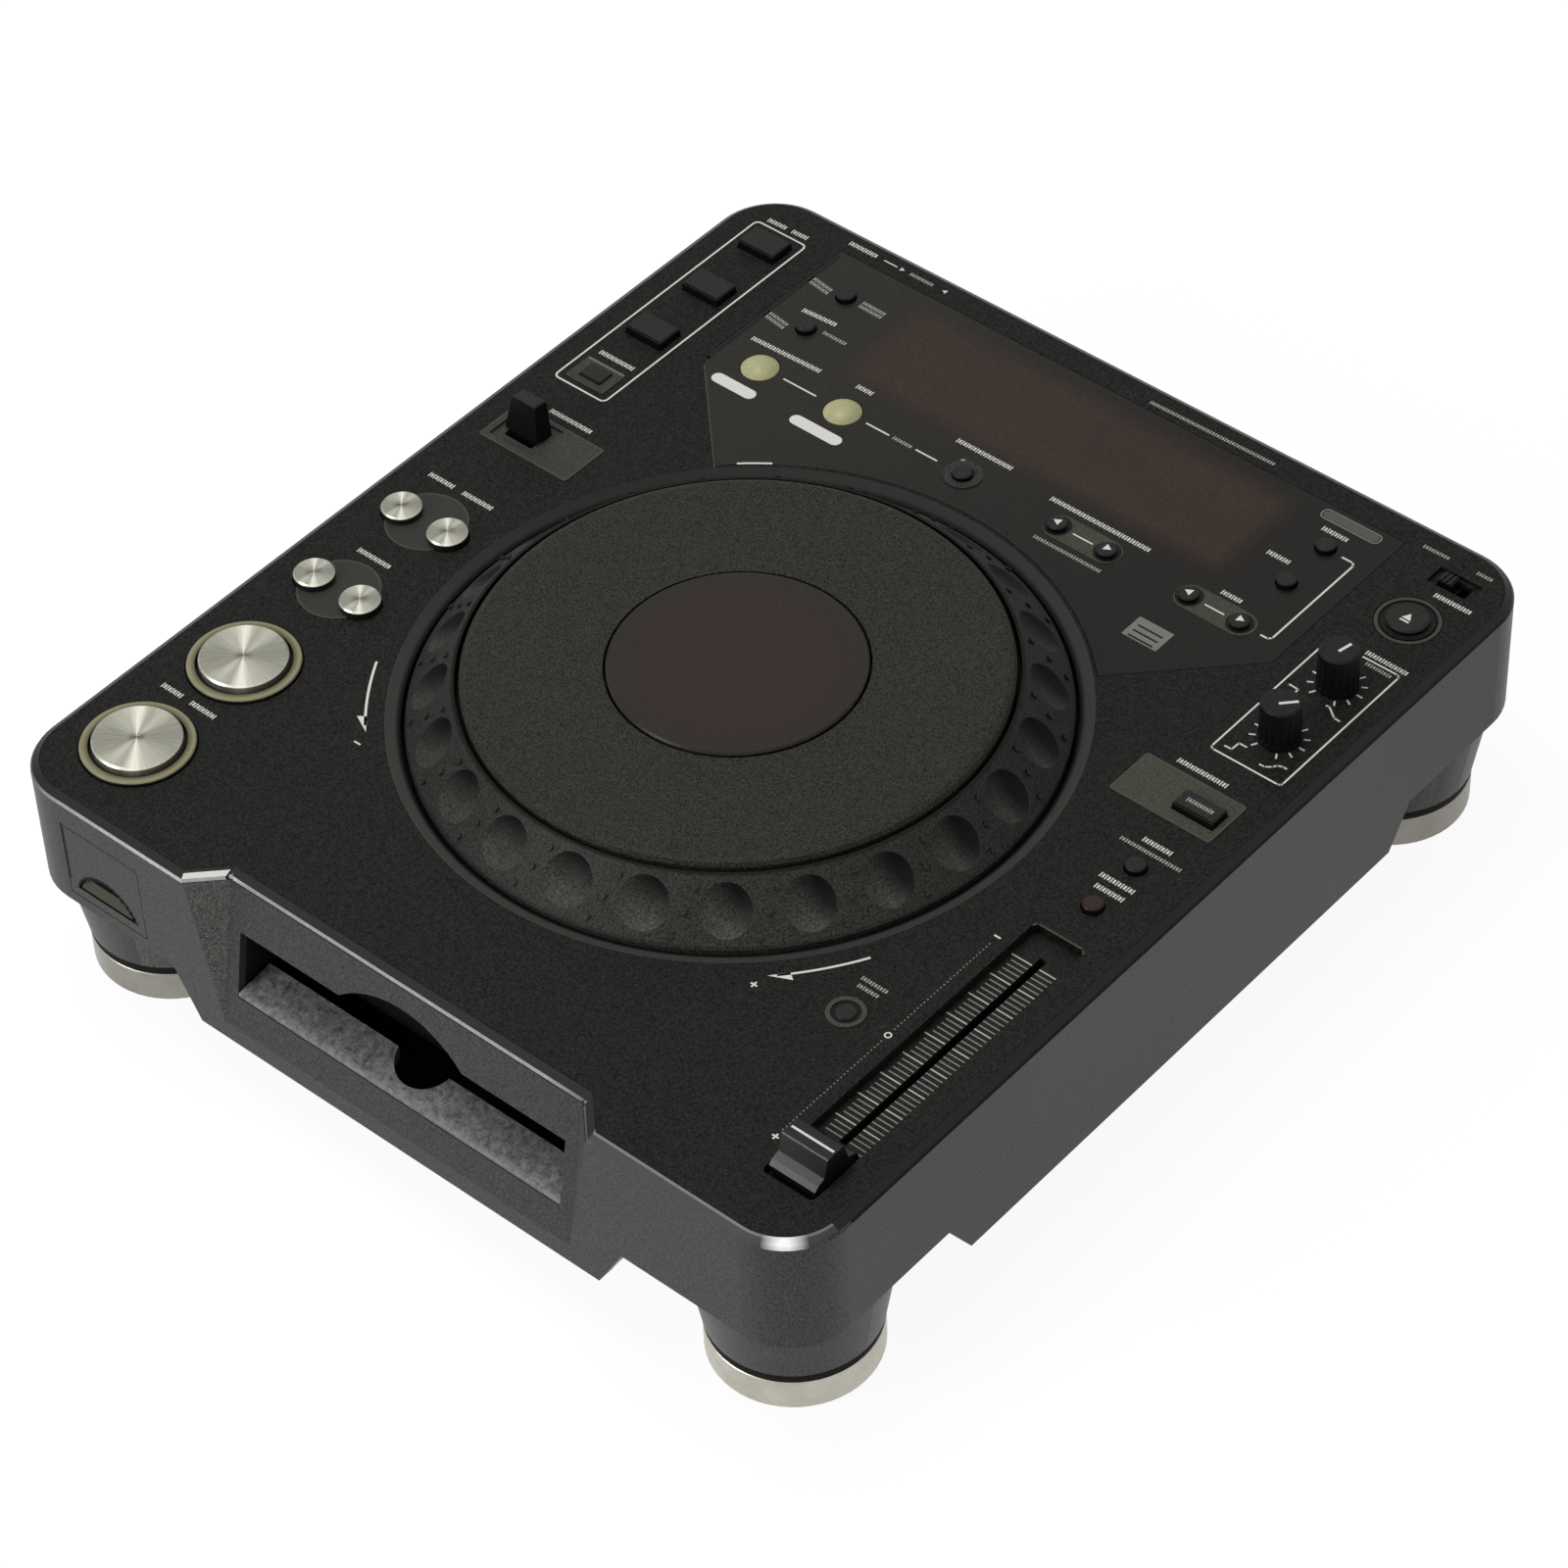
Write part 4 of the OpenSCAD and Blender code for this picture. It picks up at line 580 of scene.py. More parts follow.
def satin_metal(name, colour, rough):
    f = Finish(name)
    x, y, z = f.place()
    lines = f.noise(1.0, 3.0, f.node("CombineXYZ", None, {0: x * 60, 1: y * 60, 2: z * 4000}))
    shade = f.blend(lines * 0.5 + 0.25, tint(colour, 0.72), tint(colour, 1.2))
    return f.set(Base_Color=shade, Metallic=0.5, Roughness=lines * 0.2 + rough,
                 Specular_IOR_Level=0.3)


def foot_bands():
    """Steel rings of the feet, darker to the left and to the rear."""
    f = Finish("foot_metal")
    x, y, _ = f.place()
    grain = f.noise(320.0, 4.0)
    stain = f.noise(60.0, 3.0)
    tone = (1.0 - (x < 0.0) * 0.4 - (y > 0.0) * 0.5) * (stain * 0.5 + 0.75)
    shade = f.blend(grain * 1.2 - 0.1, (0.42, 0.4, 0.35), (0.58, 0.56, 0.49))
    return f.set(
        Base_Color=f.dimmed(shade, tone),
        Metallic=1.0 - grain * 0.3,
        Roughness=grain * 0.2 + 0.3,
        Normal=f.relief(grain, 0.1, 0.1 * MM),
    )


foot_metal = foot_bands()
jack_metal = satin_metal("jack_metal", (0.7, 0.69, 0.64), 0.25)
print("metals ready")

# %% [markdown]
# ### Lamps
# The loop keys are milky plastic with a lamp below, and the two big buttons stand in lamp rings.
# All of them are off; the loop keys get a little subsurface light and a faint painted glow from
# their emission, and the rings a pale rim.


# %% Cream lamps and halo rings
def lamp_plastic(name, colour, glow):
    """Milky plastic over an unlit lamp, with a faint emission as a painted glow."""
    f = Finish(name)
    cloud = f.noise(240.0, 3.0)
    shade = f.blend(cloud * 0.6 + 0.2, tint(colour, 0.75), tint(colour, 1.2))
    return f.set(Base_Color=shade, Roughness=cloud * 0.15 + 0.3, Subsurface_Weight=0.15,
                 Subsurface_Radius=(1.0, 0.9, 0.5), Subsurface_Scale=0.002,
                 Specular_IOR_Level=0.25, Emission_Color=colour, Emission_Strength=glow)


cream_lamp = lamp_plastic("cream_lamp", (0.32, 0.315, 0.165), 0.02)


def halo_rings():
    """The lamp ring of a big button: olive on top, black down its side."""
    f = Finish("halo_plastic")
    _, _, z = f.place()
    cue = f.from_point(*middle_of("cue_ring"))
    play = f.from_point(*middle_of("play_ring"))
    radius = f.maths("MINIMUM", cue, play)
    cloud = f.noise(120.0, 3.0)
    rim = f.ramp(radius, 15.4 * MM, 17.2 * MM) * (cloud * 0.7 + 0.65)
    shade = f.blend(rim, (0.066, 0.059, 0.03), (0.205, 0.196, 0.122))
    edge = (radius > 18.05 * MM) + (z < 85.7 * MM)
    return f.set(Base_Color=f.blend(edge, shade, (0.006, 0.006, 0.005)),
                 Roughness=cloud * 0.15 + 0.35, Specular_IOR_Level=0.12)


halo_plastic = halo_rings()
print("lamps ready")

# %% [markdown]
# ### Ink
# Every printed colour is the same ink with another tint. It is a little worn, so that long lines
# don't look drawn by a machine.


# %% Printing ink
def ink(name, colour):
    f = Finish(name)
    wear_and_sheen = f.noise(1200.0, 2.0)
    return f.set(Base_Color=f.blend(wear_and_sheen * 0.5 + 0.4, tint(colour, 0.6), colour),
                 Roughness=wear_and_sheen * 0.1 + 0.5, Specular_IOR_Level=0.15)


white_ink = ink("white_ink", (0.62, 0.63, 0.6))
line_ink = ink("line_ink", (0.56, 0.56, 0.53))
small_ink = ink("small_ink", (0.3, 0.3, 0.28))
tick_ink = ink("tick_ink", (0.18, 0.18, 0.165))
grey_ink = ink("grey_ink", (0.16, 0.16, 0.15))
dim_ink = ink("dim_ink", (0.075, 0.075, 0.068))
shade_ink = ink("shade_ink", (0.024, 0.024, 0.02))
rim_ink = ink("rim_ink", (0.043, 0.043, 0.036))
edge_ink = ink("edge_ink", (0.055, 0.054, 0.046))
dark_ink = ink("dark_ink", (0.0012, 0.0012, 0.0012))
# Olive for the painted shade under the door's scoop.
olive_shade_ink = ink("olive_shade_ink", (0.046, 0.044, 0.028))
red_ink = ink("red_ink", (0.3, 0.018, 0.014))
cream_ink = ink("cream_ink", (0.4, 0.4, 0.33))
print("inks ready")

# %% [markdown]
# ## The solids get their finishes
# Most solids already have the right shape, so they only need a finish. The table below is
# read as: this finish goes on these nodes. A silver cap gets a finish of its own, because
# its sheen turns round its own centre.

# %% Finish each node
FINISHES = {
    case_paint: ["cabinet", "bottom_pan", "card_door"],
    panel_plastic: ["top_panel"],
    slot_plastic: ["jog_post", "rear_panel", "pickup_sled"],
    liner_plastic: ["front_liners"],
    trough_plastic: ["fader_plate"],
    lip_plastic: ["slot_lip"],
    foot_metal: ["foot_rings"],
    rubber: ["foot_cores", "feed_roller"],
    panel_lens: ["display_window"],
    dial_lens: ["jog_window", "display_module"],
    sheet_steel: ["drive_frame"],
    board_green: ["power_supply", "key_board"],
    jack_metal: ["rear_jacks"],
    lever_plastic: ["lever_plate"],
    mode_plastic: ["mode_plate"],
    dial_plastic: ["jog_ring"],
    plate_plastic: ["jog_plate"],
    nylon: ["jog_encoder", "disc_hub"],
    cream_lamp: ["loop_in", "loop_out"],
    halo_plastic: ["cue_ring", "play_ring"],
    key_red: ["keylock_key"],
    key_plastic: [
        "hot_key_1", "hot_key_2", "hot_key_3", "rec_key", "time_key", "text_key", "loop_exit",
        "wave_back", "wave_next", "call_back", "call_next", "memory_key", "delete_key",
        "eject_key", "mode_key", "range_key", "reset_key", "direction_lever", "lock_slider",
        "power_rocker",
    ],
    knob_plastic: ["knob_touch", "knob_release"],
    fader_plastic: ["tempo_fader"],
}
SILVER_CAPS = ("track_back", "track_next", "search_back", "search_next", "cue_cap", "play_cap")
BLACK_BELOW = 87.1


def paint(mesh, finish):
    mesh.materials.clear()
    mesh.materials.append(finish)


for finish, names in FINISHES.items():
    for name in names:
        paint(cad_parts[name].data, finish)
for name in SILVER_CAPS:
    foot = None if name.endswith("cap") else BLACK_BELOW
    paint(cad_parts[name].data, turned_silver(name + "_silver", *middle_of(name), foot))
print("finished nodes:", sum(map(len, FINISHES.values())) + len(SILVER_CAPS))

# %% [markdown]
# ## Tools for modelling by hand
# Every new piece starts as a primitive at its size and place and is shaped in edit mode. The
# helpers only wrap the clicks that repeat: pick nothing, join what was made, keep the object
# at the origin with its place in its mesh.


# %% Helpers
def pick(*things):
    bpy.ops.object.select_all(action="DESELECT")
    for thing in things:
        thing.select_set(True)
        bpy.context.view_layer.objects.active = thing


def edit(mode="FACE"):
    bpy.ops.object.mode_set(mode="EDIT")
    bpy.ops.mesh.select_mode(type=mode)
    bpy.ops.mesh.select_all(action="SELECT")


def leave():
    bpy.ops.object.mode_set(mode="OBJECT")


def settle(*parts):
    """Joins parts into one mesh whose object sits at the origin."""
    pick(*parts)
    if len(parts) > 1:
        bpy.ops.object.join()
    bpy.ops.object.transform_apply(location=True, rotation=True, scale=True)
    return bpy.context.object


def present(piece, name, finish, body, smooth=None):
    """Names a piece, paints it and hangs it on its body."""
    piece.name = piece.data.name = name
    paint(piece.data, finish)
    if smooth:
        pick(piece)
        bpy.ops.object.shade_smooth_by_angle(angle=math.radians(smooth))
    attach(piece, body)
    return piece


pick()
print("tools ready")

# %% [markdown]
# ## Printing on the panels
# The real marks are screen printed: a film of ink with no height to speak of. Here each mark
# is a plane laid on the panel and lifted by a twentieth of a millimetre, so that it has a
# closed shape. Only plain signs are printed: lines, frames, arrows, triangles, plus and minus
# signs, and rows of plain blocks.


# %% Plain marks
def bar(x, y, width, length, z=TOP, turn=0.0):
    """A plain printed rectangle, sizes in millimetres, turned in degrees."""
    bpy.ops.mesh.primitive_plane_add(
        size=1, location=(x * MM, y * MM, z * MM), rotation=(0, 0, math.radians(turn))
    )
    made = bpy.context.object
    made.scale = (width * MM, length * MM, 1)
    return made


def stroke(x0, y0, x1, y1, width=0.7, z=TOP):
    """A printed line between two points."""
    turn = math.degrees(math.atan2(y1 - y0, x1 - x0))
    long = math.hypot(x1 - x0, y1 - y0)
    return bar((x0 + x1) / 2, (y0 + y1) / 2, long, width, z, turn)


def disc(x, y, r, z=TOP, sides=24, turn=0.0):
    """A printed disc, or a triangle when it has three sides."""
    bpy.ops.mesh.primitive_circle_add(
        vertices=sides, radius=r * MM, fill_type="NGON",
        location=(x * MM, y * MM, z * MM), rotation=(0, 0, math.radians(turn)),
    )
    return bpy.context.object


print("marks lie at", TOP, "mm")

# %% [markdown]
# A frame is a rounded rectangle with its middle inset and deleted, and a bent line is a chain
# of bars with small discs at its joints. Each of them starts as one of the plain marks.


# %% Frames and bent lines
def hollow(made, line):
    """Keeps only the rim of a printed shape, line wide."""
    made = settle(made)
    edit()
    bpy.ops.mesh.inset(thickness=line * MM)
    bpy.ops.mesh.delete(type="FACE")
    leave()
    return made


def rounded(made, r):
    """Rounds the corners of a printed rectangle."""
    made = settle(made)
    edit("VERT")
    bpy.ops.mesh.bevel(offset=r * MM, segments=5, affect="VERTICES")
    leave()
    return made


def path(points, width=0.65, z=TOP):
    """Printed lines from point to point, with small round joints."""
    made = [stroke(*p, *q, width, z) for p, q in zip(points, points[1:])]
    return made + [disc(*p, width / 2, z, 10) for p in points[1:-1]]


def frame_line(x0, x1, y0, y1, r, line, z=TOP):
    return hollow(rounded(bar((x0 + x1) / 2, (y0 + y1) / 2, x1 - x0, y1 - y0, z), r), line)


def pill(x0, x1, y, width, z=TOP):
    """A printed bar with round ends."""
    return rounded(bar((x0 + x1) / 2, y, x1 - x0, width, z), width * 0.499)


def plus(x, y, size, line, z=TOP):
    """A printed plus of three bars that don't overlap."""
    half = (size - line) / 4 + line / 2
    arm = (size - line) / 2
    return [bar(x, y, size, line, z), bar(x, y + half, line, arm, z),
            bar(x, y - half, line, arm, z)]


print("frames ready")

# %% [markdown]
# A row that stands for words is two blocks, one thin and tall and one wide and low, repeated
# by an Array modifier. An arc is a short edge spun round the dial's centre.

# %% Rows and arcs
ROW_PITCH = 2.0
ROW_BLOCKS = ((0.4, 0.45, 1.0), (1.4, 0.7, 0.8))


def caption(x0, y0, x1, y1, height=2.1, z=TOP):
    """A row of small plain blocks from one point to another."""
    long = math.hypot(x1 - x0, y1 - y0)
    along_x = (x1 - x0) / long
    along_y = (y1 - y0) / long
    turn = math.degrees(math.atan2(along_y, along_x))
    made = []
    for lead, wide, tall in ROW_BLOCKS:
        start = (x0 + lead * along_x, y0 + lead * along_y)
        block = settle(bar(*start, wide, tall * height, z, turn))
        row = block.modifiers.new("row", "ARRAY")
        row.count = max(1, int((long - lead) / ROW_PITCH + 0.7))
        row.use_relative_offset = False
        row.use_constant_offset = True
        step = ROW_PITCH * MM
        row.constant_offset_displace = (along_x * step, along_y * step, 0)
        bpy.ops.object.modifier_apply(modifier="row")
        made.append(block)
    return made


def on_arc(r, angle):
    """A point round the dial's centre, in millimetres."""
    a = math.radians(angle)
    return r * math.cos(a), r * math.sin(a) + JOG_Y / MM


def sweep(r, start, end, line):
    """A printed arc round the dial's centre: its start edge is spun round."""
    made = settle(stroke(*on_arc(r - line / 2, start), *on_arc(r + line / 2, start), 0.01))
    edit("EDGE")
    bpy.ops.mesh.delete(type="ONLY_FACE")
    bpy.ops.mesh.select_all(action="SELECT")
    bpy.ops.mesh.remove_doubles(threshold=0.05 * MM)
    bpy.ops.mesh.select_all(action="SELECT")
    bpy.ops.mesh.spin(steps=14, angle=math.radians(start - end), center=(0, JOG_Y, TOP * MM),
                      axis=(0, 0, 1))
    leave()
    return made


print("rows repeat every", ROW_PITCH, "mm")

# %% [markdown]
# The marks of one colour become one piece. They are joined flat, lifted in one extrusion, and
# their faces are turned outwards, since a lifted plane has its underside the wrong way round.

# %% Lay the ink
INK = 0.05


def printed(name, marks, finish=None, body="case", height=INK, wall=None):
    """Joins marks, lifts the ink and hangs it on its body.

    With a wall, marks drawn at height 0 are stood up on the plane at that y: their y
    becomes the height, and on the rear wall their x runs from right to left."""
    made = settle(*marks)
    edit()
    bpy.ops.mesh.extrude_region_move(
        TRANSFORM_OT_translate={"value": (0, 0, height * MM)}
    )
    bpy.ops.mesh.select_all(action="SELECT")
    bpy.ops.mesh.normals_make_consistent(inside=False)
    leave()
    if wall is not None:
        made.rotation_euler = (math.pi / 2, 0, math.pi if wall > 0 else 0)
        made.location.y = wall * MM
        made = settle(made)
    return present(made, name, finish or white_ink, body)


print("ink thickness:", INK, "mm")

# %% [markdown]
# ### Lines on the panel
# A frame ties the trigger keys together, another holds the two knobs, and short lines link the
# keys that work as a pair. They are typed as points, corner by corner, in millimetres.

# %% Frames and links
TRIGGER_FRAME = (-149.2, -126.6, 59.8, 162.3)
LOOP_LINK_Y = 105.5
LAMP_Y = 92.7

marks = [frame_line(*TRIGGER_FRAME, 2.2, 0.65)]
marks += path([(123.8, 87.6), (123.8, 111.8)], 0.6)
marks += path([(136.4, 117.1), (149.5, 117.1), (150.3, 116.8), (150.6, 116.0), (150.6, 57.3),
               (150.3, 56.5), (149.5, 56.2), (125.1, 56.2), (124.3, 56.5), (124.0, 57.3),
               (124.0, 80.8)], 0.6)
for x0, x1 in ((-88.7, -74.7), (-53.4, -43.7), (-32.6, -23.7)):
    marks.append(stroke(x0, LOOP_LINK_Y, x1, LOOP_LINK_Y, 0.6))
marks += path([(104.6, 149.5), (108.7, 149.5), (109.8, 148.4), (109.8, 106.4),
               (108.8, 105.3), (106.0, 105.3)])
marks += [pill(-108.1, -90.1, LAMP_Y, 4.6), pill(-74.5, -53.5, LAMP_Y, 4.6)]
printed("panel_lines", marks)
printed("badge_line", [frame_line(87.0, 109.8, 160.5, 165.3, 2.0, 0.5)], grey_ink)
printed("badge_field", [pill(87.8, 109.0, 162.9, 3.4)], dim_ink)
print("panel lines ready")

# %% [markdown]
# ### The tempo scale
# The trough's floor has two columns of ticks beside the fader's slit, with a longer and paler one
# at every fifth place. They are counted from the middle of the trough, where the tempo is zero.

# %% The tempo scale
FADER_X, FADER_Y = middle_of("fader_plate")
FLOOR = top_of("fader_plate")
TICK_PITCH = 2.0
DOT_PITCH = 1.5
SCALE_X = 123.6

ticks = []
long_ticks = []
for n in range(-25, 26):
    y = FADER_Y + TICK_PITCH * n
    reach = 9.0 if n % 5 == 0 else 7.6
    for side in (-1, 1):
        row = long_ticks if n % 5 == 0 else ticks
        row.append(stroke(FADER_X + side * 1.4, y, FADER_X + side * reach, y, 0.5, FLOOR))
printed("fader_ticks", ticks, tick_ink)
printed("fader_marks", long_ticks, cream_ink)
marks = [bar(SCALE_X, FADER_Y + DOT_PITCH * n, 0.45, 0.6) for n in range(-31, 32) if abs(n) > 1]
printed("fader_dots", marks, grey_ink)
marks = [hollow(disc(SCALE_X, FADER_Y, 1.2), 0.45), bar(SCALE_X, -45.6, 2.4, 0.6)]
marks += plus(SCALE_X, -145.5, 2.4, 0.6)
printed("fader_scale", marks)
# A painted highlight along the trough's rear edge.
printed("trough_highlight", path([(128.6, -35.4), (129.6, -33.9), (146.4, -33.9), (147.6, -35.4)],
                            0.75), rim_ink)
print("ticks:", len(ticks) + len(long_ticks))

# %% [markdown]
# ### Arrows
# Two arrows bend round the front of the dial: forward on the right and backward on the left. Each
# is an arc with a triangle at its end, and a small sign stands beyond it. One more short arc
# lies behind the dial.


# %% Arrows round the dial
def corner(*points):
    """A printed triangle: a three sided disc whose corners are moved to the points."""
    made = settle(disc(0, 0, 1, sides=3))
    for vertex, (x, y) in zip(made.data.vertices, points):
        vertex.co.x, vertex.co.y = x * MM, y * MM
    return made


ARROW_R = 115.0
ARROW_LINE = 0.8

marks = [sweep(110.8, 131.4, 125.5, ARROW_LINE)]
for start, end, way in ((209.4, 223.6, 1), (-29.6, -43.6, -1)):
    marks.append(sweep(ARROW_R, start, end, ARROW_LINE))
    marks.append(corner(on_arc(114.6, end - way * 2), on_arc(117.6, end - way * 2.2),
                        on_arc(114.8, end + way * 1.4)))
marks += [bar(-79.9, -104.9, 2.6, 0.6)] + plus(80.4, -104.9, 2.4, 0.6)
printed("dial_arrows", marks)
print("arrows run at", ARROW_R, "mm from the dial's middle")

# %% [markdown]
# ## Small trim on the top panel
# Round fields under the silver pairs, a plate under the record key, lozenges that tie keys
# together and thin collars. The raised ones are thicker than ink.

# %% Fields, grooves and the record plate
PAIRS = ((-132.5, -18.2), (-132.5, -58.5))

printed("pair_fields", [disc(*pair, 12.9, sides=48) for pair in PAIRS], shade_ink)
printed("pair_rims", [hollow(disc(*pair, 13.6, sides=48), 0.7) for pair in PAIRS], rim_ink)
printed("lens_lines", [stroke(-113.8, 94.9, -77.3, 58.2, 0.5)], rim_ink)
printed("lens_grooves", path([(-116.3, 96.4), (-115.0, 98.4), (-115.0, 165.4)], 1.4), dark_ink)
record_x, record_y = middle_of("rec_key")
PLATE = 0.3
printed("record_plate", [rounded(bar(record_x, record_y, 16.4, 12.0), 0.8)], lever_plastic,
        "case", PLATE)
printed("record_line", [bar(record_x, record_y + 5.2, 15.0, 0.6, TOP + PLATE)], grey_ink)
print("record plate round", record_x, record_y)

# %% [markdown]
# The key pairs behind the dial stand in wells painted black as painted shade, on raised lozenges,
# each pair linked by a line. The single keys have a gap painted black as painted shade, and a
# collar round it.

# %% Lozenges, wells and collars
KEY_ROW = 105.4
LOZENGE = 0.15
PAIRED_KEYS = ("wave_back", "wave_next", "call_back", "call_next")
reset = middle_of("reset_key")
loop_exit = (middle_of("loop_exit")[0], KEY_ROW)
eject = middle_of("eject_key")

printed("key_lozenges", [pill(21.3, 50.7, KEY_ROW, 11.0), pill(73.3, 103.6, KEY_ROW, 11.2)],
        mode_plastic, "case", LOZENGE)
# Painted shade: black discs stand for the wells round the paired keys.
marks = [disc(middle_of(name)[0], KEY_ROW, 4.6, TOP + LOZENGE, 32) for name in PAIRED_KEYS]
printed("key_well_shades", marks, slot_plastic, "case", INK)
printed("key_links", [stroke(x0, KEY_ROW, x1, KEY_ROW, 0.55, TOP + LOZENGE)
                      for x0, x1 in ((32.0, 39.9), (84.3, 91.9))])
# Painted shade: black discs stand for the gaps round the reset and loop exit keys.
printed("key_gap_shades", [disc(*reset, 4.7), disc(*loop_exit, 4.5)], slot_plastic, "case", INK)
printed("reset_collar", [hollow(disc(*reset, 6.1, sides=48), 1.4)], mode_plastic, "case", 0.5)
printed("exit_lamp", [disc(-17.2, 110.7, 0.9, sides=16)], small_ink)
printed("exit_collar", [hollow(disc(*loop_exit, 6.6, sides=48), 2.7)], collar_plastic, "case",
        0.4)
printed("eject_collar", [hollow(disc(*eject, 10.6, sides=48), 1.2)], rim_ink)
# Painted shade: a black disc for the gap round the eject key.
printed("eject_gap_shade", [disc(*eject, 8.6, sides=48)], slot_plastic, "case", INK)
print("wells:", len(PAIRED_KEYS))

# %% [markdown]
# The lever's plate and the mode button's plate have a thin paler edge. It follows the box of
# each plate, a little inside it.


# %% Rims of the two plates
def plate_rim(name, line):
    """A thin frame just inside the edge of a plate."""
    inset = 0.15
    low, high = box_of(name)
    return frame_line(low[0] + inset, high[0] - inset, low[1] + inset, high[1] - inset, 0.6,
                      line, top_of(name))


printed("plate_rims", [plate_rim("mode_plate", 0.6), plate_rim("lever_plate", 0.5)], edge_ink)
print("rims at", top_of("mode_plate"), "mm")

# %% [markdown]
# ### Signs on moving pieces
# A sign on a key rides that key's body, so it goes down with it, and a knob's pointer turns with
# its knob. Each sign is its own piece, because a piece can ride only one body.

# %% Signs on the keys
for name in PAIRED_KEYS:
    turn = 90 if name.endswith("back") else -90
    sign = disc(middle_of(name)[0], KEY_ROW, 1.7, top_of(name), 3, turn)
    printed(name + "_sign", [sign], None, name)
key_x, key_y = eject
key_top = top_of("eject_key")
marks = [disc(key_x, key_y - 0.2, 1.9, key_top, 3), bar(key_x, key_y - 2.1, 3.4, 0.7, key_top)]
printed("eject_sign", marks, None, "eject_key")
marks = [bar(*middle_of("tempo_fader"), 15.6, 0.8, top_of("tempo_fader"))]
printed("fader_line", marks, None, "fader")
for body, *ends in (("knob_touch", 138.3, 101.2, 139.4, 106.2),
                    ("knob_release", 137.8, 71.6, 142.0, 76.0)):
    printed(body + "_pointer", [stroke(*ends, 1.0, top_of(body))], None, body)
print("key signs ready")

# %% [markdown]
# ### Marks round the knobs
# Each knob has a tick every thirty degrees, all but the one that would point at the user, and
# small curves that show a light and a heavy setting.

# %% Marks round the feel knobs
TICK_NEAR, TICK_FAR = 7.3, 9.4
CURVES = (
    [(126.1, 93.2), (129.7, 93.0), (129.8, 90.8)],
    [(140.5, 92.6), (141.6, 92.9), (145.7, 89.8), (148.0, 89.6)],
    [(126.9, 59.5), (129.6, 59.6), (129.8, 63.1), (132.8, 63.1)],
    [(139.9, 59.7), (141.9, 59.7), (143.8, 61.2), (144.7, 62.6), (146.3, 63.2), (147.8, 63.1)],
)

marks = []
for name in ("knob_touch", "knob_release"):
    x, y = middle_of(name)
    for angle in range(0, 360, 30):
        if angle == 270:
            continue
        c = math.cos(math.radians(angle))
        s = math.sin(math.radians(angle))
        ends = (x + TICK_NEAR * c, y + TICK_NEAR * s, x + TICK_FAR * c, y + TICK_FAR * s)
        marks.append(stroke(*ends, 0.6))
for points in CURVES:
    marks += path(points, 0.6)
printed("knob_marks", marks, line_ink)
print("knob curves:", len(CURVES))

# %% [markdown]
# ### Rows in place of words
# Where such a panel has words, this one has plain rows of the same length and height. Each is
# typed as the two ends of its middle line, in millimetres.

# %% Plain rows in place of words
ROWS = ((-146.3, 164.8, -138.2, 165.0), (-136.0, 165.1, -128.9, 165.3),
        (-116.7, 172.5, -104.3, 172.5),
        (-67.6, 117.7, -60.1, 117.7), (-25.2, 117.5, -2.0, 117.5),
        (15.9, 114.4, 56.4, 114.4), (84.7, 113.5, 92.7, 113.5), (119.6, 46, 138.9, 46),
        (132, 13, 143.7, 13), (131, -6.5, 144.8, -6.5), (132.6, -11, 143.9, -11),
        (137.2, 153.6, 151.2, 153.6), (-145, 78.4, -130, 78.4), (-138, 46.5, -119.3, 46.5),
        (-147.6, -0.8, -136.0, -0.8), (-132.9, -0.8, -119.1, -0.8),
        (-140.6, -41.2, -126.4, -41.2), (-145.2, -124.0, -136.0, -124.1),
        (-132.6, -124.2, -121.6, -124.4), (-106.5, 136.1, -91.6, 137.0),
        (-110.3, 114.8, -80.6, 115.8), (91.6, 156.8, 102.0, 156.8),
        (84.7, 137.2, 93.9, 137.2), (125.5, 119.4, 133.0, 119.4),
        (136.0, 119.4, 152.5, 119.2))

marks = []
for row in ROWS:
    marks += caption(*row)
marks += [stroke(-101.7, 172.5, -96.0, 172.5, 0.5), disc(-94.0, 172.5, 1.1, sides=3, turn=-90),
          disc(-75.4, 172.5, 1.1, sides=3, turn=90)]
printed("caption_rows", marks, line_ink)
print("rows:", len(ROWS))

# %% [markdown]
# The smaller rows are dimmer. A sign near the dial is a plain field with three stripes.

# %% Smaller rows and the plain field
SMALL_ROWS = ((-115.0, 150.9, -104.5, 149.4), (-115.0, 148.9, -104.5, 147.4),
              (-93.2, 151.3, -83.1, 151.0), (-93.2, 149.3, -83.1, 149.0),
              (-115.0, 128.3, -104.5, 126.8), (-115.0, 126.3, -104.5, 124.8),
              (-93.7, 131.5, -83.5, 131.4), (-90.5, 172.5, -80.0, 172.5),
              (22.8, 97.0, 50.1, 97.0), (126.3, 9.2, 149.5, 9.2), (103, -83.0, 113, -83.0),
              (104, -86.0, 112, -86.0), (121.4, 169.8, 132.1, 169.8),
              (141.8, 169.9, 148.7, 169.9), (12.0, 170.8, 62.0, 171.4),
              (138.8, 115.4, 149.0, 115.0), (-42.2, 105.5, -34.0, 105.5))
FIELD_X = 78.6

marks = []
for row in SMALL_ROWS:
    marks += caption(*row, 1.6)
printed("small_rows", marks, small_ink)
marks = caption(133.6, 32.2, 144.4, 32.2, 1.8, top_of("mode_key"))
printed("mode_sign", marks, small_ink, "mode_key")
printed("plain_field", [rounded(bar(FIELD_X, 83.9, 13.4, 9.6), 0.4)], grey_ink)
printed("plain_stripes", [bar(FIELD_X, 85.2 - 2.6 * n, 9.6, 0.7, TOP + INK) for n in range(3)],
        dark_ink)
print("small rows:", len(SMALL_ROWS))

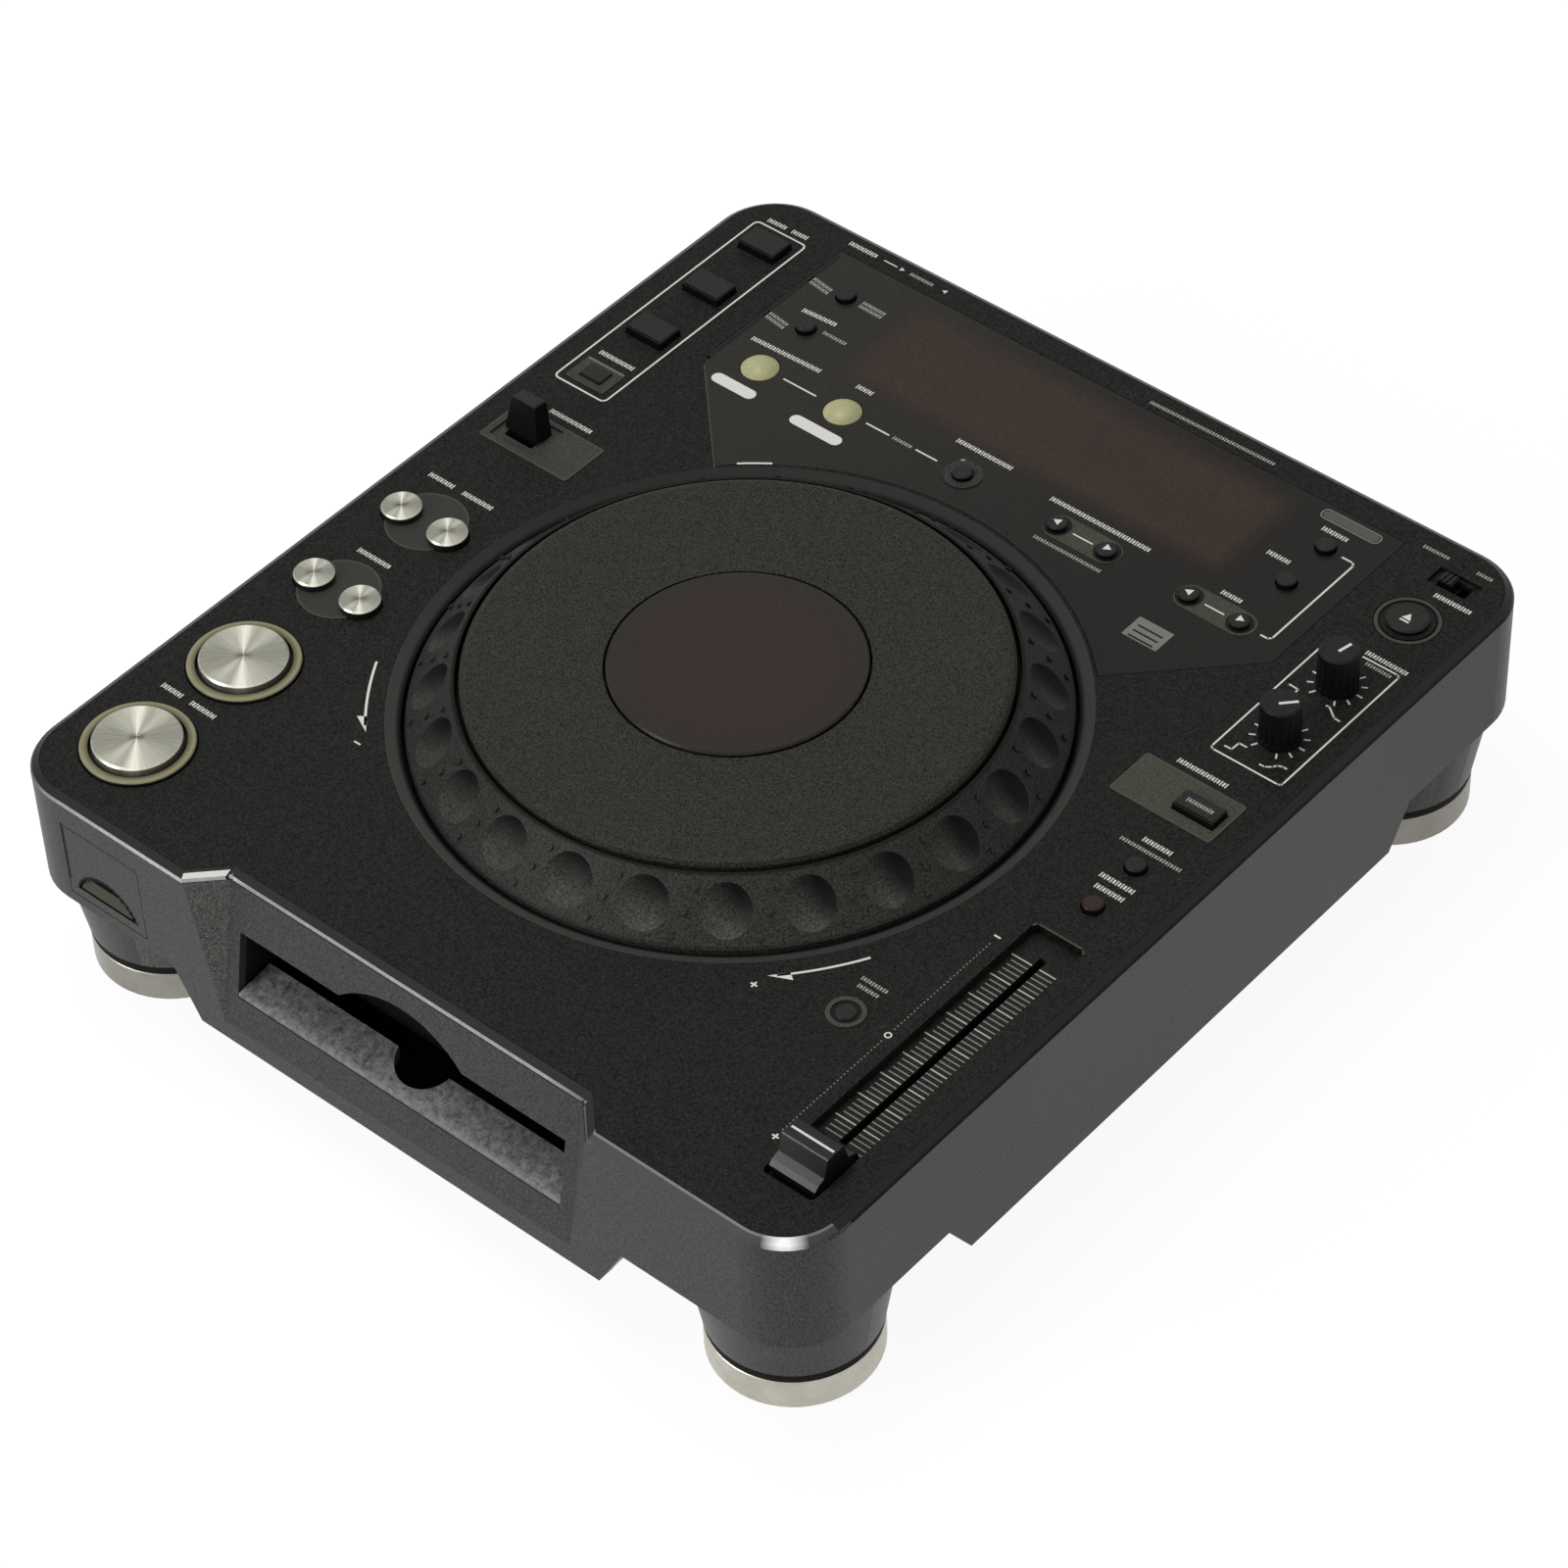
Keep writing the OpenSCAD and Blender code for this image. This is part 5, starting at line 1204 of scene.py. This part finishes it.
# %% [markdown]
# ### Marks on the walls
# The card door has a finger scoop at its lower edge, whose dark outline and olive field under its
# arch are painted shade, and a seam beside it.
# They are drawn flat at height zero and then stood up on the door's own plane.

# %% The card door's marks
door_low, door_high = box_of("card_door")
DOOR_X = (door_low[0] + door_high[0]) / 2
DOOR_WALL = door_low[1]
SCOOP_Z = door_low[2]
SCOOP_R = 13.4
FILL_R = 12.6
FILL_STEP = 1.5

# The scoop's arch is painted shade; the upright stroke below is the door's seam.
arch = []
for n in range(16):
    angle = math.radians(15 + 10 * n)
    arch.append((DOOR_X + SCOOP_R * math.cos(angle), SCOOP_Z + SCOOP_R * math.sin(angle)))
marks = path(arch, 0.7, 0)
marks += [stroke(-134.8, 50.5, -134.8, 73.0, 0.8, 0)]
printed("door_lines", marks, dark_ink, "door", wall=DOOR_WALL)
# Painted shade under the scoop's arch, laid as olive bands.
marks = []
for n in range(4):
    rise = 6.3 + FILL_STEP * n
    width = 2 * math.sqrt(FILL_R ** 2 - rise ** 2)
    marks.append(bar(DOOR_X, 50.0 + FILL_STEP * n, width, FILL_STEP, 0))
printed("door_scoop_shade", marks, olive_shade_ink, "door", wall=DOOR_WALL)
print("door marks stand at y", DOOR_WALL)

# %% [markdown]
# On the rear wall the round jacks are told apart by colour: a red and a white ring for each
# pair. Thin frames group the pairs and the mains inlet.

# %% The rear wall's marks
REAR = 170.5
SOCKET_Z = 62
JACKS = (-118, -97, -72, -51)
INLET_X = -112

for name, finish, picked in (("red", red_ink, JACKS[::2]), ("white", white_ink, JACKS[1::2])):
    rings = [hollow(disc(-x, SOCKET_Z, 6.9, 0, 32), 0.9) for x in picked]
    printed("jack_rings_" + name, rings, finish, wall=REAR)
marks = [hollow(rounded(bar(-x, SOCKET_Z, 38.5, 21, 0), 2.0), 0.4) for x in (-107.5, -61.5)]
marks.append(hollow(rounded(bar(INLET_X, SOCKET_Z, 31, 17, 0), 1.5), 0.4))
marks += [bar(-x, 53.9, 5.0, 0.5, 0) for x in JACKS]
printed("rear_lines", marks, line_ink, wall=REAR)
print("jacks:", len(JACKS))

# %% [markdown]
# ## Screws of the rear panel
# One pan head screw is modelled: a short cylinder whose rim is rounded, with a cross sunk
# into it. The others are copies with meshes of their own.


# %% Screws
def screw(x, z):
    """A cross head screw on the rear panel."""
    bpy.ops.mesh.primitive_cylinder_add(
        vertices=32, radius=2.7 * MM, depth=1.4 * MM,
        location=(x * MM, (REAR + 0.65) * MM, z * MM), rotation=(math.pi / 2, 0, 0),
    )
    head = settle(bpy.context.object)
    edit("EDGE")
    bpy.ops.mesh.select_all(action="DESELECT")
    leave()
    for rim in head.data.edges:
        ends = [head.data.vertices[i].co for i in rim.vertices]
        rim.select = all(end.y > (REAR + 1) * MM for end in ends)
    bpy.ops.object.mode_set(mode="EDIT")
    bpy.ops.mesh.bevel(offset=0.6 * MM, segments=3)
    leave()
    for wide, tall in ((3.2, 0.7), (0.7, 3.2)):
        bpy.ops.mesh.primitive_cube_add(size=1, location=(x * MM, (REAR + 1.35) * MM, z * MM))
        tool = bpy.context.object
        tool.scale = (wide * MM, 1.2 * MM, tall * MM)
        tool = settle(tool)
        pick(head)
        dent = head.modifiers.new("cross", "BOOLEAN")
        dent.object = tool
        bpy.ops.object.modifier_apply(modifier="cross")
        pick(tool)
        bpy.ops.object.delete()
    pick(head)
    return head


SCREWS = ((-134.2, 50.8), (-134.2, 73.2), (-20, 50.8), (-20, 73.2), (50, 73.2), (50, 50.8),
          (134.2, 50.8), (134.2, 73.2))

first = screw(*SCREWS[0])
for n, (x, z) in enumerate(SCREWS):
    head = first
    if n > 0:
        head = first.copy()
        head.data = first.data.copy()
        bpy.context.scene.collection.objects.link(head)
        for vertex in head.data.vertices:
            vertex.co.x += (x - SCREWS[0][0]) * MM
            vertex.co.z += (z - SCREWS[0][1]) * MM
    present(head, "rear_screw_%d" % (n + 1), jack_metal, "case", smooth=35)
print("screws:", len(SCREWS))

# %% [markdown]
# ## The studio
# A pale floor under an even dome of light, with two soft lamps for shape. A real studio lights
# its backdrop apart from the object. Here the kind of ray decides instead: the camera and the
# reflections see white, and the floor still keeps a soft shadow.

# %% Floor
bpy.ops.mesh.primitive_plane_add(size=14, location=(0, 0, 0))
floor = bpy.context.object
floor.name = "floor"
SEEING_RAYS = ("Is Camera Ray", "Is Glossy Ray", "Is Transmission Ray")
f = Finish("studio_floor")
rays = f.node("LightPath").socket.node.outputs
seen = sum((Wire(f, rays[name]) for name in SEEING_RAYS), 0.0)
shade = f.node("BsdfDiffuse", None, {"Color": (0.8, 0.8, 0.8)})
plain = f.node("Emission", None, {"Color": (1, 1, 1), "Strength": 1.03})
mixed = f.node("MixShader", None, {0: seen * 0.9, 1: shade, 2: plain})
f.tree.links.new(mixed.socket, f.tree.nodes["Material Output"].inputs[0])
floor.data.materials.append(f.material)
print("floor", floor.dimensions[:2])

# %% [markdown]
# The sky uses the same rays: a warm white dome lights the object, and a plain white is what is
# seen. The first lamp hangs above, a little to the left; the second stands at the front left.

# %% Sky and lamps
world = bpy.data.worlds.new("studio")
bpy.context.scene.world = world
world.use_nodes = True
sky = world.node_tree
rays = sky.nodes.new("ShaderNodeLightPath").outputs
dome = sky.nodes.new("ShaderNodeBackground")
white = sky.nodes.new("ShaderNodeBackground")
pair = sky.nodes.new("ShaderNodeMixShader")
dome.inputs[0].default_value = (1.0, 0.985, 0.96, 1)
dome.inputs[1].default_value = 0.42
white.inputs[0].default_value = (1, 1, 1, 1)
seen = rays[SEEING_RAYS[0]]
for name in SEEING_RAYS[1:]:
    adder = sky.nodes.new("ShaderNodeMath")
    sky.links.new(seen, adder.inputs[0])
    sky.links.new(rays[name], adder.inputs[1])
    seen = adder.outputs[0]
sky.links.new(seen, pair.inputs[0])
sky.links.new(dome.outputs[0], pair.inputs[1])
sky.links.new(white.outputs[0], pair.inputs[2])
sky.links.new(pair.outputs[0], sky.nodes["World Output"].inputs[0])


def soft_lamp(name, place, aim, size, power):
    data = bpy.data.lights.new(name, "AREA")
    data.size, data.energy = size, power
    lamp = bpy.data.objects.new(name, data)
    bpy.context.scene.collection.objects.link(lamp)
    lamp.location = place
    lamp.rotation_euler = (Vector(aim) - Vector(place)).to_track_quat("-Z", "Y").to_euler()


soft_lamp("lamp_above", (-0.3, -0.1, 1.9), (0, 0, 0.05), 1.0, 22)
soft_lamp("lamp_front", (-0.75, -1.7, 1.0), (0, -0.1, 0.05), 0.8, 18)
bpy.context.scene.view_settings.view_transform = "Standard"

# %% [markdown]
